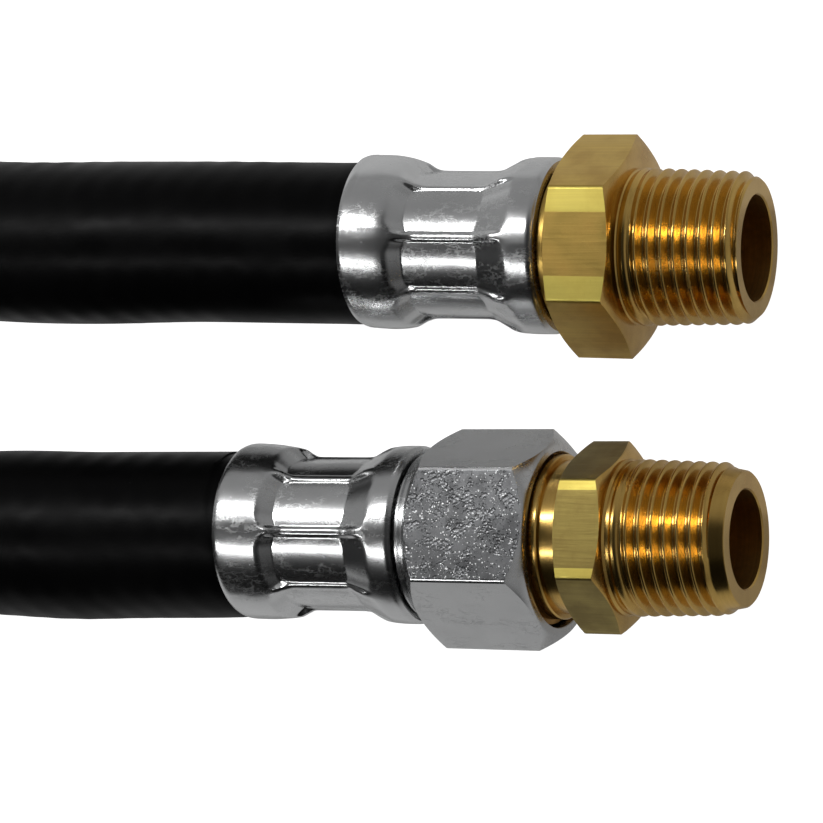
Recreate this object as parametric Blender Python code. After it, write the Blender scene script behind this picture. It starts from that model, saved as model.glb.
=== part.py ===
"""Rubber air hose assembly with a fixed male end and a swivel male end.

Half-inch reinforced rubber hose with a crimped steel ferrule on each end.
One end holds a one-piece brass fitting, the other a steel nut in which a
brass adapter turns. Both ends carry a 1/2-14 NPT male thread and lie side
by side; the hose goes round in one flat loop behind them.

Units are metres. Z is up and the floor is z = 0. Each end is modelled along
its own +X axis with the open end of its thread towards +X, then turned and
moved to its place. Angles round an axis start at +Z and grow towards +Y.
"""

import math

import bmesh
import bpy
from mathutils import Matrix, Vector

# Clearance between pieces that touch, and running clearance of the swivel
SEAT_GAP = 0.0003

# Hose, from the rim of each ferrule inwards and outwards
HOSE_RADIUS = 0.0120
HOSE_BORE_RADIUS = 0.00635
HOSE_MOUTH_RADIUS = 0.0113
HOSE_MOUTH_DROP = 0.0004
HOSE_MOUTH_SHARE = 0.45
HOSE_CRIMPED_RADIUS = 0.0086
HOSE_NECKING_LENGTH = 0.006
HOSE_END_GAP = 0.0012
HOSE_POINT_SPACING = 0.025
HOSE_BEVEL_RESOLUTION = 4
HOSE_CUTTER_OVERRUN = 0.002

# Taper pipe thread, 1/2-14
THREAD_PITCH = 0.0254 / 14
THREAD_END_RADIUS = 0.01036
THREAD_TAPER = 1 / 32
THREAD_DEPTH = 0.00122
THREAD_CREST_SHARE = 0.14
THREAD_ROOT_SHARE = 0.12
THREAD_SEAM_SHARE = 0.01
THREAD_COLUMNS = 24
THREAD_CHAMFER_LENGTH = 0.0011
THREAD_FACE_RADIUS = 0.0092

# Insert pushed into the hose on each end
INSERT_START = 0.0030
INSERT_RADIUS = 0.0060
INSERT_VALLEY_RADIUS = 0.0056
INSERT_BORE_RADIUS = 0.0047
INSERT_BORE_TAPER_LENGTH = 0.0015
INSERT_BARB_COUNT = 4
INSERT_BARB_ZONE_SHARE = 0.75
INSERT_BARB_CREST_SHARE = 0.7
INSERT_BARB_FALL_SHARE = 0.1
INSERT_SHOULDER_RADIUS = 0.0104
INSERT_SHOULDER_LENGTH = 0.0058

# Crimped ferrules
FERRULE_BELL_LENGTH = 0.0100
FERRULE_BELL_FULL_SHARE = 0.5
FERRULE_BELL_FOOT_LENGTH = 0.0006
FERRULE_LIP_LENGTH = 0.0014
FERRULE_LIP_DROP = 0.0004
FERRULE_SHOULDER_RISE_LENGTH = 0.0046
FERRULE_SHOULDER_DROP = 0.0002
FERRULE_END_LENGTH = 0.0006
FERRULE_END_DROP = 0.0005
FERRULE_PAD_COUNT = 8
FERRULE_PAD_DEPTH = 0.00035
FERRULE_PAD_LEAD = 0.0010
FERRULE_PAD_TAIL = 0.0008
FERRULE_PAD_WALL = 0.0002
FERRULE_RIDGE_HALF_ANGLE = math.radians(2.4)
FERRULE_RIDGE_FOOT_ANGLE = math.radians(4.2)
FERRULE_RIDGE_TURN = math.radians(3.0)

# Fixed end, distances along its axis from the ferrule's rim
FIXED_BELL_RADIUS = 0.01230
FIXED_WAIST_RADIUS = 0.01045
FIXED_SHOULDER_WALL = 0.00150
FIXED_SHOULDER_RADIUS = INSERT_SHOULDER_RADIUS + SEAT_GAP + FIXED_SHOULDER_WALL
FIXED_WAIST_LENGTH = 0.0094
FIXED_FERRULE_LENGTH = 0.0290
FIXED_NECK_LENGTH = 0.0021
FIXED_NECK_RADIUS = 0.0107
FIXED_HEX_FLATS = 0.0270
FIXED_HEX_LENGTH = 0.0087
FIXED_HEX_TURN = math.radians(-1.5)
FIXED_COLLAR_LENGTH = 0.0022
FIXED_COLLAR_RADIUS = 0.0105
FIXED_THREAD_LENGTH = 0.0151
FIXED_MOUTH_RADIUS = 0.0072
FIXED_MOUTH_DEPTH = 0.0120

# Swivel end, distances along its axis from the ferrule's rim
SWIVEL_BELL_RADIUS = 0.01262
SWIVEL_WAIST_RADIUS = 0.01095
SWIVEL_SHOULDER_WALL = 0.00178
SWIVEL_SHOULDER_RADIUS = INSERT_SHOULDER_RADIUS + SEAT_GAP + SWIVEL_SHOULDER_WALL
SWIVEL_WAIST_LENGTH = 0.0089
SWIVEL_FERRULE_LENGTH = 0.0277
SWIVEL_NECK_LENGTH = 0.0026
SWIVEL_NECK_RADIUS = 0.0116
SWIVEL_GROOVE_START = 0.0008
SWIVEL_GROOVE_WIDTH = 0.0003
SWIVEL_GROOVE_SLOPE = 0.0001
SWIVEL_GROOVE_DEPTH = 0.0004
NUT_FLATS = 0.0270
NUT_LENGTH = 0.0178
NUT_TURN = math.radians(10.0)
NUT_BORE_RADIUS = 0.0126
NUT_MOUTH_RADIUS = 0.01185
NUT_RIM_WIDTH = 0.0004
NUT_LIP_LENGTH = 0.0010
NUT_CHAMFER_LENGTH = 0.0018
NUT_CONE_LENGTH = 0.0007
STEM_BODY_LENGTH = 0.0095
STEM_SOCKET_DEPTH = 0.0052
SPIGOT_RADIUS = 0.0080
SPIGOT_LENGTH = 0.0044
SEAL_GROOVE_START = 0.0012
SEAL_GROOVE_RADIUS = 0.0065
SEAL_GROOVE_WIDTH = 0.0019
SEAL_SIDES = 8
FLANGE_LENGTH = 0.0024
ADAPTER_RING_RADIUS = 0.01148
ADAPTER_RING_LENGTH = 0.0011
ADAPTER_NECK_RADIUS = 0.01063
ADAPTER_NECK_LENGTH = 0.0025
ADAPTER_HEX_FLATS = 0.0232
ADAPTER_HEX_LENGTH = 0.0065
ADAPTER_HEX_TURN = math.radians(7.2)
ADAPTER_COLLAR_LENGTH = 0.0022
ADAPTER_COLLAR_RADIUS = 0.0105
ADAPTER_LEAD_IN = 0.0004
ADAPTER_THREAD_LENGTH = 0.0128
ADAPTER_THREAD_DROP = 0.0006
ADAPTER_NOSE_LENGTH = 0.0020
ADAPTER_NOSE_RADIUS = 0.00945
ADAPTER_MOUTH_RADIUS = 0.0067
ADAPTER_MOUTH_DEPTH = 0.0120

HEX_CHAMFER_LENGTH = 0.0007

# Places of the two ends on the floor: rim of each ferrule, the way it points, how
# far its nose is lifted, and where along its axis a hexagon touches the floor
FIXED_RIM = (0.1673, 0.0205)
FIXED_AZIMUTH = math.radians(-1.11)
FIXED_LIFT = 0.0
FIXED_TOUCH = FIXED_FERRULE_LENGTH + FIXED_NECK_LENGTH + HEX_CHAMFER_LENGTH
SWIVEL_RIM = (0.1491, -0.0210)
SWIVEL_AZIMUTH = math.radians(0.87)
SWIVEL_LIFT = math.radians(2.3)
SWIVEL_TOUCH = SWIVEL_FERRULE_LENGTH + SWIVEL_NECK_LENGTH + NUT_CHAMFER_LENGTH

# The hose's route from the fixed end to the far side of its loop, which the other
# half of the loop mirrors: x, y, and how far it is still lifted off the floor
HALF_ROUTE = (
    (0.099, 0.022, 0.0003),
    (0.055, 0.030, 0.0001),
    (0.019, 0.052, 0.0),
    (-0.012, 0.083, 0.0),
    (-0.052, 0.109, 0.0),
    (-0.099, 0.118, 0.0),
    (-0.144, 0.108, 0.0),
    (-0.180, 0.082, 0.0),
    (-0.205, 0.044, 0.0),
)
LOOP_END = (-0.2127, 0.0, 0.0)
# The straight start of the hose at each end, and how far it drops there
LEAD_LENGTH = 0.024
LEAD_DROP = 0.0001
# Fineness of the curve through the route, and the smallest length that counts
ROUTE_STEPS = 20
MERGE_DISTANCE = 0.00001

# Edges that bend by more than this stay crisp
CRISP_ANGLE = math.radians(32)

# Materials: name, colour, roughness, metallic
BLACK_RUBBER = ("black rubber", (0.012, 0.012, 0.013), 0.5, 0.0)
ZINC_PLATED_STEEL = ("zinc plated steel", (0.55, 0.56, 0.57), 0.3, 1.0)
BRASS = ("brass", (0.62, 0.45, 0.16), 0.28, 1.0)
SEAL_RUBBER = ("seal rubber", (0.02, 0.02, 0.02), 0.6, 0.0)


def clear_scene():
    """Remove everything that a new file starts with."""
    for item in list(bpy.data.objects):
        bpy.data.objects.remove(item, do_unlink=True)


def material(name, colour, roughness, metallic):
    """Make a Principled material."""
    made = bpy.data.materials.new(name)
    made.use_nodes = True
    shader = made.node_tree.nodes["Principled BSDF"]
    shader.inputs["Base Color"].default_value = (*colour, 1.0)
    shader.inputs["Roughness"].default_value = roughness
    shader.inputs["Metallic"].default_value = metallic
    made.diffuse_color = (*colour, 1.0)
    return made


def column_angles(count, turn=0.0):
    """Angles of evenly spaced columns."""
    return [turn + 2 * math.pi * index / count for index in range(count)]


def ring(bm, x, radius, angles):
    """Add one ring of vertices; radius is a number or a function of the angle."""
    verts = []
    for angle in angles:
        r = radius(angle) if callable(radius) else radius
        verts.append(bm.verts.new((x, r * math.sin(angle), r * math.cos(angle))))
    return verts


def skin(bm, first, second):
    """Join two rings of the same count by a band of quads."""
    count = len(first)
    for index in range(count):
        after = (index + 1) % count
        bm.faces.new((first[index], first[after], second[after], second[index]))


def skin_all(bm, rings):
    """Join each ring to the next one."""
    for first, second in zip(rings, rings[1:]):
        skin(bm, first, second)


def finish_mesh(bm, name, look):
    """Turn a bmesh into an object with outward faces and the given material."""
    bmesh.ops.recalc_face_normals(bm, faces=bm.faces)
    mesh = bpy.data.meshes.new(name)
    bm.to_mesh(mesh)
    bm.free()
    mesh.materials.append(look)
    mesh.shade_smooth()
    mesh.set_sharp_from_angle(angle=CRISP_ANGLE)
    made = bpy.data.objects.new(name, mesh)
    bpy.context.scene.collection.objects.link(made)
    return made


def hex_radius(flats, turn, cap):
    """Radius of a hexagon at an angle, cut by a chamfer cone of radius cap."""
    def at(angle):
        step = math.pi / 3
        off = (angle - turn + step / 2) % step - step / 2
        return min(flats / 2 / math.cos(off), cap)
    return at


def hex_stations(start, length, flats, turn, chamfer):
    """Stations (x, radius) of a hexagon that is chamfered at both ends."""
    corner = flats / 2 / math.cos(math.pi / 6)
    middle = (flats / 2 + corner) / 2
    end = start + length
    return [
        (start, hex_radius(flats, turn, flats / 2)),
        (start + chamfer / 2, hex_radius(flats, turn, middle)),
        (start + chamfer, hex_radius(flats, turn, corner)),
        (end - chamfer, hex_radius(flats, turn, corner)),
        (end - chamfer / 2, hex_radius(flats, turn, middle)),
        (end, hex_radius(flats, turn, flats / 2)),
    ]


def thread_radius(x, share, start, end, face_radius, chamfer):
    """Radius of the thread at x for one line of its profile.

    share is 0 on the crest and 1 in the root. The depth fades out over the
    first pitch, and the last stretch runs down a chamfer to the end face.
    """
    crest = THREAD_END_RADIUS + (end - x) * THREAD_TAPER
    fade = min(max((x - start) / THREAD_PITCH, 0.0), 1.0)
    cone = face_radius + (end - x) * (THREAD_END_RADIUS - face_radius) / chamfer
    return min(crest - share * THREAD_DEPTH * fade, max(cone, face_radius))


def threaded_rings(bm, start, end, face_radius, chamfer, angles):
    """Add a right-hand thread between x = start and x = end.

    The rows of faces follow the helix. Returns the flat ring before the
    thread and the flat ring at its end.
    """
    columns = len(angles)
    lines = (
        (0.0, 0.0),
        (THREAD_CREST_SHARE, 0.0),
        (0.5 + THREAD_CREST_SHARE / 2 - THREAD_ROOT_SHARE / 2, 1.0),
        (0.5 + THREAD_CREST_SHARE / 2 + THREAD_ROOT_SHARE / 2, 1.0),
    )
    rows_a_turn = len(lines)
    seam = THREAD_SEAM_SHARE * THREAD_PITCH
    turns = (end - start - 2 * seam) / THREAD_PITCH - 1
    rows = int(turns * rows_a_turn)
    grid = []
    for row in range(rows + 1):
        place, share = lines[row % rows_a_turn]
        verts = []
        for column in range(columns):
            along = (row // rows_a_turn + place + column / columns) * THREAD_PITCH
            x = start + seam + along
            r = thread_radius(x, share, start, end, face_radius, chamfer)
            angle = angles[0] - 2 * math.pi * column / columns
            verts.append(bm.verts.new((x, r * math.sin(angle), r * math.cos(angle))))
        grid.append(verts)
    for row in range(rows):
        for column in range(columns - 1):
            bm.faces.new((
                grid[row][column], grid[row][column + 1],
                grid[row + 1][column + 1], grid[row + 1][column],
            ))
        if row + 1 + rows_a_turn <= rows:
            bm.faces.new((
                grid[row][-1], grid[row + rows_a_turn][0],
                grid[row + 1 + rows_a_turn][0], grid[row + 1][-1],
            ))
    back_angles = [angles[0] - 2 * math.pi * column / columns for column in range(columns)]
    collar = thread_radius(start, 0.0, start, end, face_radius, chamfer)
    first = ring(bm, start, collar, back_angles)
    last = ring(bm, end, face_radius, back_angles)
    for column in range(columns - 1):
        bm.faces.new((first[column], first[column + 1], grid[0][column + 1], grid[0][column]))
        bm.faces.new((grid[rows][column], grid[rows][column + 1], last[column + 1], last[column]))
    rise = [grid[row][0] for row in range(rows_a_turn, -1, -1)]
    bm.faces.new([first[0], first[-1], grid[0][-1]] + rise)
    fall = [grid[row][-1] for row in range(rows, rows - rows_a_turn - 1, -1)]
    bm.faces.new([last[0], last[-1]] + fall + [grid[rows][0]])
    return forward(first), forward(last)


def forward(verts):
    """Put a ring that runs backwards into the order of the other rings."""
    return [verts[0]] + verts[:0:-1]


def insert_stations(start, end):
    """Outer stations of the barbed insert between x = start and x = end."""
    stations = [(start, INSERT_VALLEY_RADIUS)]
    step = (end - start) * INSERT_BARB_ZONE_SHARE / INSERT_BARB_COUNT
    for index in range(INSERT_BARB_COUNT):
        crest = start + (index + INSERT_BARB_CREST_SHARE) * step
        stations.append((crest, INSERT_RADIUS))
        stations.append((crest + INSERT_BARB_FALL_SHARE * step, INSERT_VALLEY_RADIUS))
    stations.append((end, INSERT_VALLEY_RADIUS))
    return stations


def ferrule_places(waist_length):
    """Where a ferrule's waist starts and ends, and where its shoulder is full."""
    waist_start = FERRULE_BELL_LENGTH + FERRULE_BELL_FOOT_LENGTH
    waist_end = waist_start + waist_length
    return waist_start, waist_end, waist_end + FERRULE_SHOULDER_RISE_LENGTH


def ferrule_base_radius(x, bell, waist, shoulder, waist_length, length):
    """Outer radius of a crimped ferrule at x from its rim, on a ridge line."""
    waist_start, waist_end, shoulder_start = ferrule_places(waist_length)
    full = FERRULE_BELL_LENGTH * FERRULE_BELL_FULL_SHARE
    if x <= FERRULE_LIP_LENGTH:
        return bell - FERRULE_LIP_DROP * (1 - x / FERRULE_LIP_LENGTH)
    if x <= full:
        return bell
    if x <= waist_start:
        part = (x - full) / (waist_start - full)
        return bell - (bell - waist) * (1 - math.cos(math.pi / 2 * part))
    if x <= waist_end:
        return waist
    if x <= shoulder_start:
        part = (x - waist_end) / (shoulder_start - waist_end)
        return waist + (shoulder - waist) * math.sin(math.pi / 2 * part)
    return shoulder - FERRULE_SHOULDER_DROP * (x - shoulder_start) / (length - shoulder_start)


def shoulder_seat(length):
    """Where the insert's shoulder is stopped inside a ferrule of this length."""
    return length - INSERT_SHOULDER_LENGTH - SEAT_GAP


def hose_outline(length):
    """Outer radius of the hose squeezed by a ferrule, as (x, radius) from its rim."""
    return [
        (-HOSE_NECKING_LENGTH, HOSE_RADIUS),
        (0.0, HOSE_MOUTH_RADIUS),
        (FERRULE_BELL_LENGTH * HOSE_MOUTH_SHARE, HOSE_MOUTH_RADIUS - HOSE_MOUTH_DROP),
        (FERRULE_BELL_LENGTH, HOSE_CRIMPED_RADIUS),
        (shoulder_seat(length) - HOSE_END_GAP, HOSE_CRIMPED_RADIUS),
    ]


def ferrule_angles():
    """Angles round a ferrule, each with whether it lies on a pressed pad."""
    sector = 2 * math.pi / FERRULE_PAD_COUNT
    offsets = (
        -FERRULE_RIDGE_HALF_ANGLE,
        FERRULE_RIDGE_HALF_ANGLE,
        FERRULE_RIDGE_FOOT_ANGLE,
        sector / 2,
        sector - FERRULE_RIDGE_FOOT_ANGLE,
    )
    return [
        (FERRULE_RIDGE_TURN + index * sector + offset, offset >= FERRULE_RIDGE_FOOT_ANGLE)
        for index in range(FERRULE_PAD_COUNT)
        for offset in offsets
    ]


def thirds(start, end):
    """The two places between start and end that part it in three, and end itself."""
    return [start + (end - start) * part / 3 for part in (1, 2, 3)]


def make_ferrule(name, look, bell, waist, shoulder, waist_length, length):
    """Crimped ferrule along +X with its rim at x = 0."""
    bm = bmesh.new()
    columns = ferrule_angles()
    waist_start, waist_end, shoulder_start = ferrule_places(waist_length)
    full = FERRULE_BELL_LENGTH * FERRULE_BELL_FULL_SHARE
    pad_start = FERRULE_BELL_LENGTH - FERRULE_PAD_LEAD
    pad_end = waist_end + FERRULE_PAD_TAIL
    places = [0.0, FERRULE_LIP_LENGTH, full, *thirds(full, pad_start)]
    pad_places = [pad_start + FERRULE_PAD_WALL, waist_start, waist_end, pad_end - FERRULE_PAD_WALL]
    places += [*pad_places, pad_end, *thirds(pad_end, shoulder_start)]
    places += [length - FERRULE_END_LENGTH, length]
    rings = []
    for x in places:
        base = ferrule_base_radius(x, bell, waist, shoulder, waist_length, length)
        if x == length:
            base -= FERRULE_END_DROP
        pad = min(base, waist - FERRULE_PAD_DEPTH) if x in pad_places else base
        verts = []
        for angle, pressed in columns:
            r = pad if pressed else base
            verts.append(bm.verts.new((x, r * math.sin(angle), r * math.cos(angle))))
        rings.append(verts)
    seat = shoulder_seat(length)
    bore = [
        (length, INSERT_SHOULDER_RADIUS + SEAT_GAP),
        (seat, INSERT_SHOULDER_RADIUS + SEAT_GAP),
        (seat - HOSE_END_GAP / 2, HOSE_CRIMPED_RADIUS + SEAT_GAP),
    ]
    bore += [(x, radius + SEAT_GAP) for x, radius in reversed(hose_outline(length)[1:-1])]
    angles = [angle for angle, _ in columns]
    inner = [ring(bm, x, radius, angles) for x, radius in bore]
    skin_all(bm, rings + inner + [rings[0]])
    return finish_mesh(bm, name, look)


def make_fixed_fitting(look):
    """One-piece brass fitting: barbed insert, shoulder, hexagon and male thread."""
    bm = bmesh.new()
    angles = column_angles(THREAD_COLUMNS, FIXED_HEX_TURN)
    shoulder_start = FIXED_FERRULE_LENGTH - INSERT_SHOULDER_LENGTH
    neck_start = FIXED_FERRULE_LENGTH + SEAT_GAP
    hex_start = FIXED_FERRULE_LENGTH + FIXED_NECK_LENGTH
    hex_end = hex_start + FIXED_HEX_LENGTH
    thread_start = hex_end + FIXED_COLLAR_LENGTH
    thread_end = thread_start + FIXED_THREAD_LENGTH
    outer = insert_stations(INSERT_START, shoulder_start)
    outer += [
        (shoulder_start, INSERT_SHOULDER_RADIUS),
        (neck_start, INSERT_SHOULDER_RADIUS),
        (neck_start, FIXED_NECK_RADIUS),
        (hex_start, FIXED_NECK_RADIUS),
    ]
    outer += hex_stations(hex_start, FIXED_HEX_LENGTH, FIXED_HEX_FLATS,
                          FIXED_HEX_TURN, HEX_CHAMFER_LENGTH)
    outer += [(hex_end, FIXED_COLLAR_RADIUS)]
    rings = [ring(bm, x, radius, angles) for x, radius in outer]
    first, last = threaded_rings(bm, thread_start, thread_end, THREAD_FACE_RADIUS,
                                 THREAD_CHAMFER_LENGTH, angles)
    rings.append(first)
    skin_all(bm, rings)
    bore = [
        (thread_end, FIXED_MOUTH_RADIUS),
        (thread_end - FIXED_MOUTH_DEPTH, FIXED_MOUTH_RADIUS),
        (thread_end - FIXED_MOUTH_DEPTH - INSERT_BORE_TAPER_LENGTH, INSERT_BORE_RADIUS),
        (INSERT_START, INSERT_BORE_RADIUS),
    ]
    inner = [ring(bm, x, radius, angles) for x, radius in bore]
    skin_all(bm, [last] + inner + [rings[0]])
    return finish_mesh(bm, "fixed_fitting", look)


def make_swivel_stem(look):
    """Barbed insert with its collar and the body that fills the nut's back half."""
    bm = bmesh.new()
    angles = column_angles(THREAD_COLUMNS)
    shoulder_start = SWIVEL_FERRULE_LENGTH - INSERT_SHOULDER_LENGTH
    neck_start = SWIVEL_FERRULE_LENGTH + SEAT_GAP
    body_start = SWIVEL_FERRULE_LENGTH + SWIVEL_NECK_LENGTH
    body_end = body_start + STEM_BODY_LENGTH
    body_radius = NUT_BORE_RADIUS - SEAT_GAP
    socket_radius = SPIGOT_RADIUS + SEAT_GAP
    groove = neck_start + SWIVEL_GROOVE_START
    groove_end = groove + SWIVEL_GROOVE_WIDTH + 2 * SWIVEL_GROOVE_SLOPE
    groove_radius = SWIVEL_NECK_RADIUS - SWIVEL_GROOVE_DEPTH
    outer = insert_stations(INSERT_START, shoulder_start)
    outer += [
        (shoulder_start, INSERT_SHOULDER_RADIUS),
        (neck_start, INSERT_SHOULDER_RADIUS),
        (neck_start, SWIVEL_NECK_RADIUS),
        (groove, SWIVEL_NECK_RADIUS),
        (groove + SWIVEL_GROOVE_SLOPE, groove_radius),
        (groove_end - SWIVEL_GROOVE_SLOPE, groove_radius),
        (groove_end, SWIVEL_NECK_RADIUS),
        (body_start, SWIVEL_NECK_RADIUS),
        (body_start, body_radius),
        (body_end, body_radius),
    ]
    bore = [
        (body_end, socket_radius),
        (body_end - STEM_SOCKET_DEPTH, socket_radius),
        (body_end - STEM_SOCKET_DEPTH, INSERT_BORE_RADIUS),
        (INSERT_START, INSERT_BORE_RADIUS),
    ]
    rings = [ring(bm, x, radius, angles) for x, radius in outer + bore]
    skin_all(bm, rings + [rings[0]])
    return finish_mesh(bm, "swivel_stem", look)


def make_swivel_nut(look):
    """Steel hexagon nut whose front lip traps the adapter's flange."""
    bm = bmesh.new()
    angles = column_angles(THREAD_COLUMNS, NUT_TURN)
    start = SWIVEL_FERRULE_LENGTH + SWIVEL_NECK_LENGTH
    end = start + NUT_LENGTH
    outer = hex_stations(start, NUT_LENGTH - NUT_CONE_LENGTH, NUT_FLATS, NUT_TURN,
                         NUT_CHAMFER_LENGTH)
    outer.append((end, NUT_MOUTH_RADIUS + NUT_RIM_WIDTH))
    bore = [
        (end, NUT_MOUTH_RADIUS),
        (end - NUT_LIP_LENGTH, NUT_MOUTH_RADIUS),
        (end - NUT_LIP_LENGTH, NUT_BORE_RADIUS),
        (start, NUT_BORE_RADIUS),
    ]
    rings = [ring(bm, x, radius, angles) for x, radius in outer + bore]
    skin_all(bm, rings + [rings[0]])
    return finish_mesh(bm, "swivel_nut", look)


def make_swivel_adapter(look):
    """Brass adapter that turns in the nut: spigot, flange, hexagon and male thread."""
    bm = bmesh.new()
    angles = column_angles(THREAD_COLUMNS, ADAPTER_HEX_TURN)
    nut_end = SWIVEL_FERRULE_LENGTH + SWIVEL_NECK_LENGTH + NUT_LENGTH
    flange_end = nut_end - NUT_LIP_LENGTH - SEAT_GAP
    flange_start = flange_end - FLANGE_LENGTH
    stem_face = SWIVEL_FERRULE_LENGTH + SWIVEL_NECK_LENGTH + STEM_BODY_LENGTH
    spigot_start = stem_face - SPIGOT_LENGTH
    groove_start = spigot_start + SEAL_GROOVE_START
    ring_end = nut_end + ADAPTER_RING_LENGTH
    hex_start = ring_end + ADAPTER_NECK_LENGTH
    hex_end = hex_start + ADAPTER_HEX_LENGTH
    thread_start = hex_end + ADAPTER_COLLAR_LENGTH
    thread_end = thread_start + ADAPTER_THREAD_LENGTH
    flange_radius = NUT_BORE_RADIUS - SEAT_GAP
    nose_end = thread_end + ADAPTER_NOSE_LENGTH
    outer = [
        (spigot_start, SPIGOT_RADIUS),
        (groove_start, SPIGOT_RADIUS),
        (groove_start, SEAL_GROOVE_RADIUS),
        (groove_start + SEAL_GROOVE_WIDTH, SEAL_GROOVE_RADIUS),
        (groove_start + SEAL_GROOVE_WIDTH, SPIGOT_RADIUS),
        (flange_start, SPIGOT_RADIUS),
        (flange_start, flange_radius),
        (flange_end, flange_radius),
        (flange_end, ADAPTER_RING_RADIUS),
        (ring_end, ADAPTER_RING_RADIUS),
        (ring_end, ADAPTER_NECK_RADIUS),
        (hex_start, ADAPTER_NECK_RADIUS),
    ]
    outer += hex_stations(hex_start, ADAPTER_HEX_LENGTH, ADAPTER_HEX_FLATS,
                          ADAPTER_HEX_TURN, HEX_CHAMFER_LENGTH)
    outer += [
        (hex_end, ADAPTER_COLLAR_RADIUS),
        (thread_start - ADAPTER_LEAD_IN, ADAPTER_COLLAR_RADIUS),
    ]
    rings = [ring(bm, x, radius, angles) for x, radius in outer]
    nose_start_radius = THREAD_END_RADIUS - ADAPTER_THREAD_DROP
    first, last = threaded_rings(bm, thread_start, thread_end, nose_start_radius,
                                 THREAD_CHAMFER_LENGTH / 2, angles)
    skin_all(bm, rings + [first])
    bore = [
        (nose_end, ADAPTER_NOSE_RADIUS),
        (nose_end, ADAPTER_MOUTH_RADIUS),
        (nose_end - ADAPTER_MOUTH_DEPTH, ADAPTER_MOUTH_RADIUS),
        (nose_end - ADAPTER_MOUTH_DEPTH - INSERT_BORE_TAPER_LENGTH, INSERT_BORE_RADIUS),
        (spigot_start, INSERT_BORE_RADIUS),
    ]
    inner = [ring(bm, x, radius, angles) for x, radius in bore]
    skin_all(bm, [last] + inner + [rings[0]])
    return finish_mesh(bm, "swivel_adapter", look)


def make_seal_ring(look):
    """Rubber ring in the groove of the adapter's spigot."""
    bm = bmesh.new()
    angles = column_angles(THREAD_COLUMNS, ADAPTER_HEX_TURN)
    stem_face = SWIVEL_FERRULE_LENGTH + SWIVEL_NECK_LENGTH + STEM_BODY_LENGTH
    centre = stem_face - SPIGOT_LENGTH + SEAL_GROOVE_START + SEAL_GROOVE_WIDTH / 2
    section = (SPIGOT_RADIUS - SEAL_GROOVE_RADIUS - SEAT_GAP) / 2
    middle = SEAL_GROOVE_RADIUS + SEAT_GAP + section
    rings = []
    for turn in column_angles(SEAL_SIDES):
        rings.append(ring(bm, centre + section * math.cos(turn),
                          middle + section * math.sin(turn), angles))
    skin_all(bm, rings + [rings[0]])
    return finish_mesh(bm, "seal_ring", look)


def end_frame(rim, azimuth, lift, flats, turn, touch):
    """Matrix that lays an end on the floor, on the hexagon that touches it.

    The nose is lifted by the angle lift, so the hexagon of this size and turn
    touches the floor at the distance touch from the ferrule's rim.
    """
    corner = flats / 2 / math.cos(math.pi / 6)
    resting = corner * math.cos(math.pi / 6 - abs(turn))
    height = resting * math.cos(lift) - touch * math.sin(lift)
    move = Matrix.Translation((*rim, height))
    return move @ Matrix.Rotation(azimuth, 4, "Z") @ Matrix.Rotation(-lift, 4, "Y")


def catmull_point(points, index, part):
    """Point on a smooth curve between points[index] and points[index + 1]."""
    before = points[max(index - 1, 0)]
    start = points[index]
    end = points[index + 1]
    after = points[min(index + 2, len(points) - 1)]
    span = (end - start).length
    tangent_a = (end - before) * (span / (span + (start - before).length))
    tangent_b = (after - start) * (span / (span + (after - end).length))
    square = part * part
    cube = square * part
    return (start * (2 * cube - 3 * square + 1) + tangent_a * (cube - 2 * square + part)
            + end * (3 * square - 2 * cube) + tangent_b * (cube - square))


def smooth_route(points, spacing):
    """Points about one spacing apart on a smooth curve through the route's points."""
    fine = []
    for index in range(len(points) - 1):
        for step in range(ROUTE_STEPS):
            fine.append(catmull_point(points, index, step / ROUTE_STEPS))
    fine.append(points[-1])
    lengths = [0.0]
    for first, second in zip(fine, fine[1:]):
        lengths.append(lengths[-1] + (second - first).length)
    count = max(2, round(lengths[-1] / spacing))
    picked = []
    at = 0
    for index in range(count + 1):
        goal = lengths[-1] * index / count
        while at < len(fine) - 2 and lengths[at + 1] < goal:
            at += 1
        share = (goal - lengths[at]) / (lengths[at + 1] - lengths[at])
        picked.append(fine[at].lerp(fine[at + 1], min(max(share, 0.0), 1.0)))
    return picked


def end_points(frame, length):
    """Points and radii of the hose from its end inside a ferrule to past the rim."""
    return [(frame @ Vector((x, 0, 0)), radius) for x, radius in reversed(hose_outline(length))]


def tube(name, points, look):
    """Mesh tube with closed ends, made from a bevelled curve through (point, radius) pairs."""
    data = bpy.data.curves.new(name, "CURVE")
    data.dimensions = "3D"
    data.twist_mode = "Z_UP"
    data.bevel_depth = HOSE_RADIUS
    data.bevel_resolution = HOSE_BEVEL_RESOLUTION
    data.use_fill_caps = True
    spline = data.splines.new("POLY")
    spline.points.add(len(points) - 1)
    for slot, (place, radius) in zip(spline.points, points):
        slot.co = (*place, 1.0)
        slot.radius = radius / HOSE_RADIUS
    guide = bpy.data.objects.new(name + "_curve", data)
    bpy.context.scene.collection.objects.link(guide)
    seen = guide.evaluated_get(bpy.context.evaluated_depsgraph_get())
    mesh = bpy.data.meshes.new_from_object(seen)
    bpy.data.objects.remove(guide)
    bm = bmesh.new()
    bm.from_mesh(mesh)
    bmesh.ops.remove_doubles(bm, verts=bm.verts, dist=MERGE_DISTANCE)
    mesh.materials.clear()
    return finish_mesh(bm, name, look)


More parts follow.
